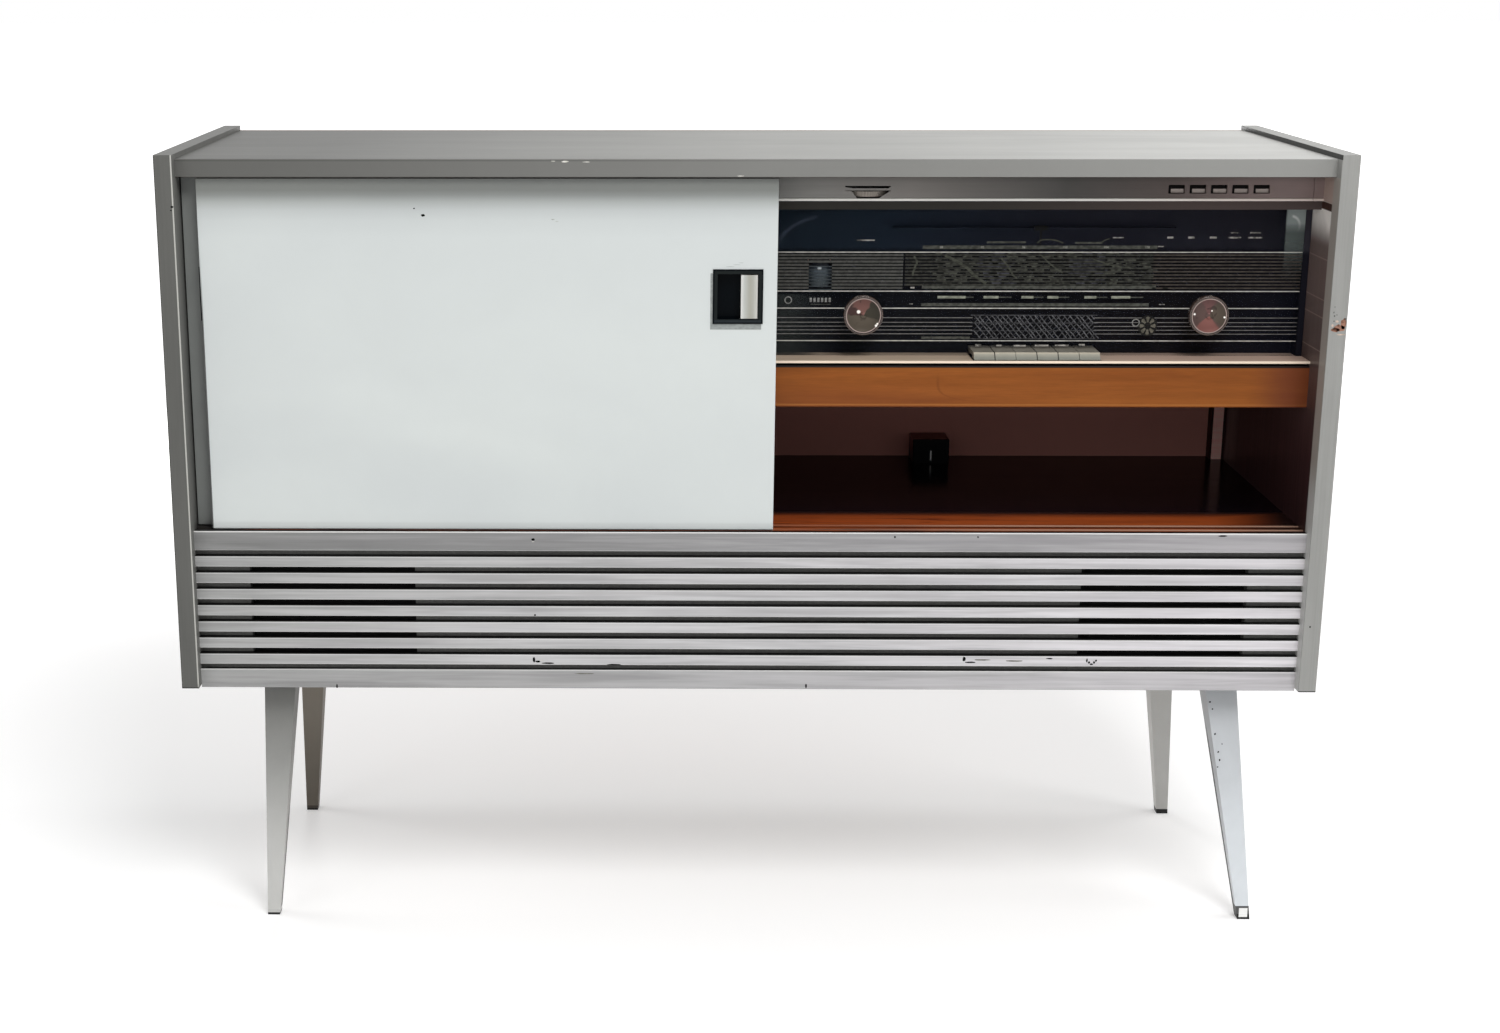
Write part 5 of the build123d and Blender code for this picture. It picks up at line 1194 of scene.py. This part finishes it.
words = [
    (px(u) - w / 2, px(u) + w / 2, h, t)
    for u, w, h, t in (
        (864.5, 0.018, 119.4, 1.3), (1115.5, 0.011, 122.2, 1.1), (1158.5, 0.0062, 113.2, 1.2),
        (1167.3, 0.0062, 122.3, 1.9), (1188.3, 0.0064, 122.3, 1.9), (1210.0, 0.007, 122.3, 1.9),
        (1231.2, 0.0132, 122.3, 1.6), (1251.8, 0.015, 122.3, 1.5), (1230.8, 0.0074, 127.2, 1.3),
        (1251.8, 0.011, 127.2, 1.5), (912.5, 0.004, 70.6, 1.6), (911.5, 0.0034, 53.8, 1.0),
        (1165.5, 0.006, 70.2, 1.2), (1163.0, 0.006, 53.4, 0.9), (980.7, 0.0062, 10.7, 2.2),
        (1001.5, 0.0056, 10.4, 1.5), (1022.5, 0.0124, 10.3, 1.6), (1044.6, 0.014, 10.5, 1.8),
        (1064.8, 0.014, 10.7, 1.6), (1084.9, 0.0062, 11.2, 1.8)
    )
]
printed("dial_labels", words, ink("ink_labels", (140, 137, 132), patchy=0.7))
scale_numbers = [
    (str(n), Vector((px(940 + i * 41), PRINT_Y - 2 * PRINT, at(112.2))), UPRIGHT)
    for i, n in enumerate((88, 92, 96, 100, 104, 108))
]
digits("dial_numbers", scale_numbers, 0.0034, "cabinet", ink("ink_numbers", (150, 150, 142)))

# A plain roundel, a plain ring and a row of plain blocks stand where a maker would put its marks.
roundel = Solids()
half = math.radians(14)
for a in circle(8):
    x, z = px(1150), at(31.2)
    loop = [
        (x + r * math.cos(b), PRINT_Y - PRINT, z + r * 1.15 * math.sin(b))
        for r, b in (
            (0.0034, a - half), (0.0078, a - half), (0.0084, a), (0.0078, a + half), (0.0034, a + half)
        )
    ]
    roundel.prism(loop, (0, -PRINT, 0))
on_glass("dial_roundel", roundel, ink("ink_roundel", (92, 89, 80), patchy=0.3))
backing = Solids()
backing.prism([(x + 0.0102 * math.cos(a), PRINT_Y - PRINT * 0.5, z + 0.0108 * math.sin(a))
               for a in circle(32)], (0, -PRINT * 0.5, 0))
on_glass("dial_roundel_ground", backing, ink("ink_ground", (22, 21, 20)))
ring = Solids()
for x, z, r in ((px(788.5), at(57.6), 0.0034), (px(1138), at(34.5), 0.0036)):
    turn = [(x + r * math.cos(a), z + r * math.sin(a)) for a in circle(24) + [TURN]]
    ring.stroke(turn, 0.0011, PRINT_Y - PRINT, PRINT)
INK_MARK = ink("ink_mark", (130, 130, 127), patchy=0.3)
on_glass("dial_rings", ring, INK_MARK)
printed("dial_blocks", [(px(810 + i * 3.8), px(812.2 + i * 3.8), 57.8, 4.4) for i in range(6)], INK_MARK)
printed("dial_block_line", [(px(811), px(831), 53.2, 0.7)], INK_BAR)


# ---------------------------------------------------------------- slot of the balance wheel
SLOT_LEFT, SLOT_RIGHT, SLOT_BEND = 0.0936, 0.1396, SLOT_LOW + 0.0072
CORNERS_Y = STRIP_LOW.y + 0.0008
corners = Solids()
for points in (
    ((SLOT_LEFT, SLOT_BEND), (SLOT_LEFT, SLOT_LOW),
     (SLOT_LEFT + 0.0124, SLOT_LOW), (SLOT_LEFT + 0.0064, SLOT_BEND)),
    ((SLOT_RIGHT, SLOT_BEND), (SLOT_RIGHT, SLOT_LOW),
     (SLOT_RIGHT - 0.0119, SLOT_LOW), (SLOT_RIGHT - 0.0010, SLOT_BEND)),
    ((SLOT_LEFT, SLOT_HIGH - 0.0012), (SLOT_LEFT, SLOT_BEND + 0.0006),
     (SLOT_RIGHT, SLOT_BEND + 0.0006), (SLOT_RIGHT, SLOT_HIGH - 0.0008),
     (SLOT_RIGHT - 0.0030, SLOT_HIGH - 0.0024), (SLOT_LEFT + 0.0080, SLOT_HIGH - 0.0024)),
):
    corners.prism([(x, CORNERS_Y, z) for x, z in points], (0, 0.0003, 0))
piece("wheel_slot_corners", corners.data, "cabinet", strip.material)

# ---------------------------------------------------------------- knob faces
def knob_face(side_name, body, spots, tones):
    """The spun metal disc in a knob's dish. Its highlights are painted: spots and sectors of tone."""
    low, high = KNOBS[side_name]
    centre = Vector(((low.x + high.x) / 2, low.y, (low.z + high.z) / 2))
    s = Shader(f"{side_name}_knob_metal", Metallic=0.4, Specular_IOR_Level=0.3)
    offset = s.vector("SUBTRACT", s.place, tuple(centre))
    ox, _, oz = s.split(offset)
    flat_offset = s.vector("MULTIPLY", offset, (1, 0, 1))
    r = s.length(flat_offset)
    cloud = s.noise(90, rough=0.6, distortion=1.0)
    angle = s.math("ARCTAN2", oz, ox) + cloud.span(-0.35, 0.35)
    turned_rings = r.waves(0.0005)
    tone = tones[0][2]
    for start_deg, end_deg, colour in tones[1:]:
        tone = angle.within(math.radians(start_deg), math.radians(end_deg), 0.12).mix(tone, colour)
    tone = (cloud.step(0.42, 0.32) * 0.6).mix(tone, (40, 30, 25))
    tone = s.lift(tone, r.step(0.018, 0.004).span(0.86, 1.1))
    rim = r.step(0.0168, 0.0171)
    tone = rim.mix(tone, (158, 140, 134))
    for x, z, size in spots:
        near = s.length(s.vector("SUBTRACT", flat_offset, (x, 0, z)))
        tone = near.step(size, size * 0.5).mix(tone, (250, 244, 236))
    s.set(Base_Color=tone, Roughness=turned_rings.span(0.3, 0.4))
    s.bump(turned_rings, 0.1, 0.0001)
    # (radius, depth behind the knob's front) of a hub, the shallow dish round it, the rim and the back.
    profile = [
        (0, 0.0003), (0.0022, 0.0003), (0.003, 0.0006), (0.0036, 0.0014), (0.009, 0.0013), (0.0156, 0.0008),
        (0.0164, 0.0003), (0.0178, 0.0002), (0.0179, 0.0019), (0, 0.0019)
    ]
    return piece(
        f"{side_name}_knob_face", lathe(profile, centre, (0, 1, 0)), body, s.material,
        smooth=True
    )


knob_face(
    "volume", "volume_control",
    [(-0.005, 0.0038, 0.0023), (0.0132, -0.0104, 0.0017), (0.0144, -0.0084, 0.0012)],
    ((-180, 180, (74, 66, 56)), (-20, 60, (46, 42, 33)), (60, 140, (98, 66, 60)), (140, 179, (56, 36, 33)))
)
knob_face(
    "tuning", "tuning_control",
    [(-0.015, 0.0018, 0.0015), (0.0026, 0.0052, 0.001), (0.0156, -0.0014, 0.0013)],
    (
        (-180, 180, (78, 60, 56)), (-140, -50, (116, 74, 68)), (-40, 60, (72, 62, 53)),
        (70, 120, (92, 62, 60))
    )
)

# ---------------------------------------------------------------- record deck
rubber = Shader("mat_rubber")
rubber_grain = rubber.noise(700, detail=2.0)
rubber.set(Base_Color=rubber_grain.ramp((0.3, (24, 24, 24)), (0.7, (36, 35, 34))), Roughness=0.7)
rubber.bump(rubber_grain, 0.2, 0.0001)
PIN_ABOVE_PLATTER, MAT_THICK = 0.028, 0.0028
MAT_TOP = PLATTER_HIGH.z - PIN_ABOVE_PLATTER + MAT_THICK
# (radius, height): the mat is flat at the middle and has twelve ring grooves 0.9 mm deep.
mat_profile = [(0.0040, -0.0027), (0.0040, 0.0), (0.0300, 0.0)]
for i in range(12):
    r = 0.034 + i * 0.0066
    mat_profile += [(r, 0.0), (r + 0.0008, -0.0009), (r + 0.0022, -0.0009), (r + 0.0030, 0.0)]
mat_profile += [(0.1180, 0.0), (0.1190, -0.0008), (0.1190, -0.0027), (0.0040, -0.0027)]
piece(
    "platter_mat", lathe(mat_profile, (PLATTER_X, PLATTER_Y, MAT_TOP), (0, 0, 1), 128), "platter",
    rubber.material, smooth=True
)
trim = metal("deck_trim", (200, 198, 190), 0.22)
ring_profile = [(0.1275, 0.0), (0.1300, 0.0), (0.1300, 0.0012), (0.1275, 0.0012), (0.1275, 0.0)]
DECK_TOP = DECK_HIGH.z
piece(
    "deck_trim_ring", lathe(ring_profile, (PLATTER_X, PLATTER_Y, DECK_TOP), (0, 0, 1), 128), "cabinet",
    trim, smooth=True
)
LEVER_X = (LEVER_LOW.x + LEVER_HIGH.x) / 2
LEVER_Y = LEVER_HIGH.y - 0.008
speeds = []
for number, turn_deg in (("33", -30), ("45", 0), ("78", 30)):
    a = math.radians(turn_deg)
    spot = Vector((LEVER_X + 0.034 * math.sin(a), LEVER_Y - 0.034 * math.cos(a), DECK_TOP + 0.0001))
    speeds.append((number, spot, Matrix.Identity(4)))
digits("deck_speed_numbers", speeds, 0.006, "cabinet", ink("deck_ink", (60, 58, 54)), 0.0002)

# ---------------------------------------------------------------- wear: chips and specks, and the painted shadow of the door pull
CORNERS, FLAKE_LIFT, FLAKE_THICK = 10, 0.00002, 0.00007


def flakes(name, node, colour, spots, seed, patchy=0.2):
    """Thin ragged scales on a CAD node: (u, v) in the camera's view, half width and half height in mm."""
    rng = random.Random(seed)
    solids = Solids()
    for u, v, half_wide, half_tall in spots:
        origin, direction = sight(u, v)
        hit, place, normal, _ = NODES[node].ray_cast(origin, direction)
        if not hit:
            raise RuntimeError(f"{name}: nothing of {node} at {u}, {v}")
        across = Vector((0, 0, 1)).cross(normal).normalized() if abs(normal.z) < 0.9 else Vector((1, 0, 0))
        up = normal.cross(across).normalized()
        loop = []
        for angle in circle(CORNERS):
            reach = MM * (0.70 + 0.30 * rng.random())
            offset = across * half_wide * math.cos(angle) + up * half_tall * math.sin(angle)
            loop.append(place + offset * reach + normal * FLAKE_LIFT)
        solids.prism(loop, normal * FLAKE_THICK)
    body = "front_door" if node == "front_door" else "cabinet"
    return piece(name, solids.data, body, ink(name + "_ground", colour, 0.6, patchy))


DARK, PALE, RUST = ((16, 15, 14), (212, 210, 202), (142, 104, 88))
flakes(
    "rail_chips", "grille_bars", DARK,
    [
        (533, 539.5, 2.2, 1.6), (895, 537, 1.2, 1.3), (978, 537, 1.1, 1.2), (535, 615.0, 1.2, 1.0),
        (534, 659.5, 1.6, 3.4), (538, 661.5, 3.4, 1.2), (548, 663.2, 9.0, 1.0), (614, 664.6, 8.6, 1.0),
        (964, 659, 1.8, 3.0), (970, 662.3, 7.5, 1.0), (1049.5, 658.6, 4.0, 0.8), (1087, 660.5, 1.1, 2.4),
        (1089, 662.5, 1.4, 1.6), (1091.5, 664.3, 2.2, 1.1), (1094, 662.3, 1.3, 1.6),
        (1096, 660.6, 1.1, 1.6), (337, 686, 1.0, 2.6), (806, 686, 1.0, 2.8), (1223, 536, 5.4, 0.9)
    ], 11, 0.15
)
flakes(
    "rail_scratches", "grille_bars", (112, 111, 104),
    [(584, 673.6, 12.0, 0.7), (982, 659.9, 10.0, 0.8), (1014, 661, 11.0, 0.9)], 24
)
flakes("rail_chip_rims", "grille_bars", PALE, [(533, 541.6, 1.6, 0.6), (542, 660.2, 2.0, 0.6)], 12)
flakes("side_dot", "right_side_panel", DARK, [(1310, 627, 1.1, 1.2)], 13)
flakes(
    "side_chip", "right_side_panel", RUST,
    [(1339, 328.5, 7.6, 3.6), (1343.5, 324, 3.4, 6.0), (1335, 330, 5.6, 2.4)], 14, 0.35
)
flakes(
    "side_chip_core", "right_side_panel", (104, 70, 56),
    [
        (1342.4, 327, 1.6, 2.2), (1334.5, 330.0, 3.0, 1.0), (1344.6, 320.0, 1.3, 2.2),
        (1338.6, 325.4, 1.5, 1.2)
    ], 22, 0.3
)
flakes(
    "side_chip_pale", "right_side_panel", (196, 176, 162),
    [(1337, 321.5, 1.8, 1.3), (1341, 334.6, 5.6, 0.8), (1332.5, 325.5, 1.4, 1.5)], 15
)
flakes(
    "side_chip_specks", "right_side_panel", (88, 90, 88),
    [
        (1334, 312.5, 0.7, 1.2), (1334.5, 316, 0.9, 1.1), (1334, 321.2, 0.8, 0.8), (1345.5, 319, 1.0, 1.0),
        (1337, 315, 0.6, 0.6), (1335, 307, 0.5, 0.7)
    ], 21
)
flakes("side_nick", "left_side_panel", DARK, [(172.0, 207, 1.8, 1.4), (171, 210.5, 1.0, 0.7)], 16)
flakes("door_dots", "front_door", DARK, [(414, 208.5, 1.1, 0.8), (423, 215.3, 2.2, 1.6)], 17, 0.05)
PULL_LOW, PULL_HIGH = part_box("front_door_pull")
# Painted shadow of the pull on the door, along its left side and under it.
pull_shadow = Solids()
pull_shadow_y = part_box("front_door")[0].y - 0.0002
pull_shadow.box(
    PULL_LOW.x - 0.0024, PULL_LOW.x + 0.0004, pull_shadow_y, pull_shadow_y + 0.0003, PULL_LOW.z - 0.0058,
    PULL_HIGH.z - 0.004
)
pull_shadow.box(
    PULL_LOW.x + 0.0004, PULL_HIGH.x - 0.0015, pull_shadow_y, pull_shadow_y + 0.0003, PULL_LOW.z - 0.0058,
    PULL_LOW.z + 0.0004
)
piece(
    "door_pull_shadow", pull_shadow.data, "front_door", ink("ink_pull_shadow", (150, 155, 153), patchy=0.1)
)
flakes(
    "door_hairlines", "front_door", (176, 182, 180),
    [(730, 266.6, 5.0, 0.35), (737, 264.6, 4.6, 0.3), (741, 262.8, 3.0, 0.3)], 23, 0.1
)
flakes("door_mark", "front_door", (176, 180, 176), [(553, 219.5, 2.0, 0.7), (557, 221.5, 1.8, 0.6)], 18)
flakes(
    "leg_specks", "legs", DARK,
    [
        (1210, 702, 1.1, 1.3), (1212.4, 709, 1.1, 1.1), (1215, 734, 1.1, 1.4), (1218.2, 752, 1.0, 1.2),
        (1219.6, 760, 1.0, 1.6), (1217.6, 767, 0.9, 1.0), (1222, 744, 0.7, 0.9)
    ], 19
)
flakes(
    "top_specks", "top_panel", PALE,
    [(565, 161.6, 4.0, 0.9), (553, 161.2, 2.6, 0.5), (586, 162, 4.5, 0.5), (741, 176, 4.0, 0.5)], 20
)


# ---------------------------------------------------------------- lamps and floor
def lamp(name, place, target, size, watts):
    """A round area light, unseen by the camera."""
    data = bpy.data.lights.new(name, "AREA")
    data.shape, data.size, data.energy = "DISK", size, watts
    made = link(name, data)
    made.location = place
    made.visible_camera = False
    made.rotation_euler = (Vector(target) - Vector(place)).to_track_quat("-Z", "Y").to_euler()


lamp("key", (0.7, -2.2, 3.1), (0, 0, 0.5), 1.5, 72)
lamp("fill", (-2.4, -2.4, 1.4), (0, 0, 0.5), 1.6, 10)
lamp("right", (2.6, -0.8, 1.5), (0.4, 0, 0.6), 1.2, 14)
lamp("overhead", (1.5, 0.3, 2.1), (0.3, 0, 0.8), 0.9, 10)
lamp("left", (-2.6, 0.5, 1.4), (-0.5, 0.1, 0.5), 1.2, 12)
lamp("back", (-0.8, 2.7, 0.46), (0, 0.2, 0.5), 0.6, 24)

world = bpy.data.worlds.new("studio")
bpy.context.scene.world = world
world.use_nodes = True
sky = Nodes(world.node_tree)
background = next(n for n in sky.tree.nodes if n.type == "BACKGROUND")
background.inputs["Color"].default_value = (1, 1, 1, 1)
sky.put(background.inputs["Strength"], sky.rays("Camera", "Glossy", "Transmission").span(0.34, 1.0))

ground = Shader("floor_pale", Roughness=0.9)
shown = ground.rays("Camera", "Glossy", "Transmission")
far = ground.length(ground.place)
glow = far.step(0.9, 3.6).span(0.3, 1.0)
ground.set(Base_Color=(0.82, 0.82, 0.82, 1), Emission_Color=(1, 1, 1, 1), Emission_Strength=shown * glow)
floor_mesh = bpy.data.meshes.new("floor")
floor_mesh.from_pydata([(-30, -30, 0), (30, -30, 0), (30, 30, 0), (-30, 30, 0)], [], [(0, 1, 2, 3)])
floor_mesh.materials.append(ground.material)
floor = link("floor", floor_mesh)
bpy.context.scene.view_settings.view_transform = "Standard"
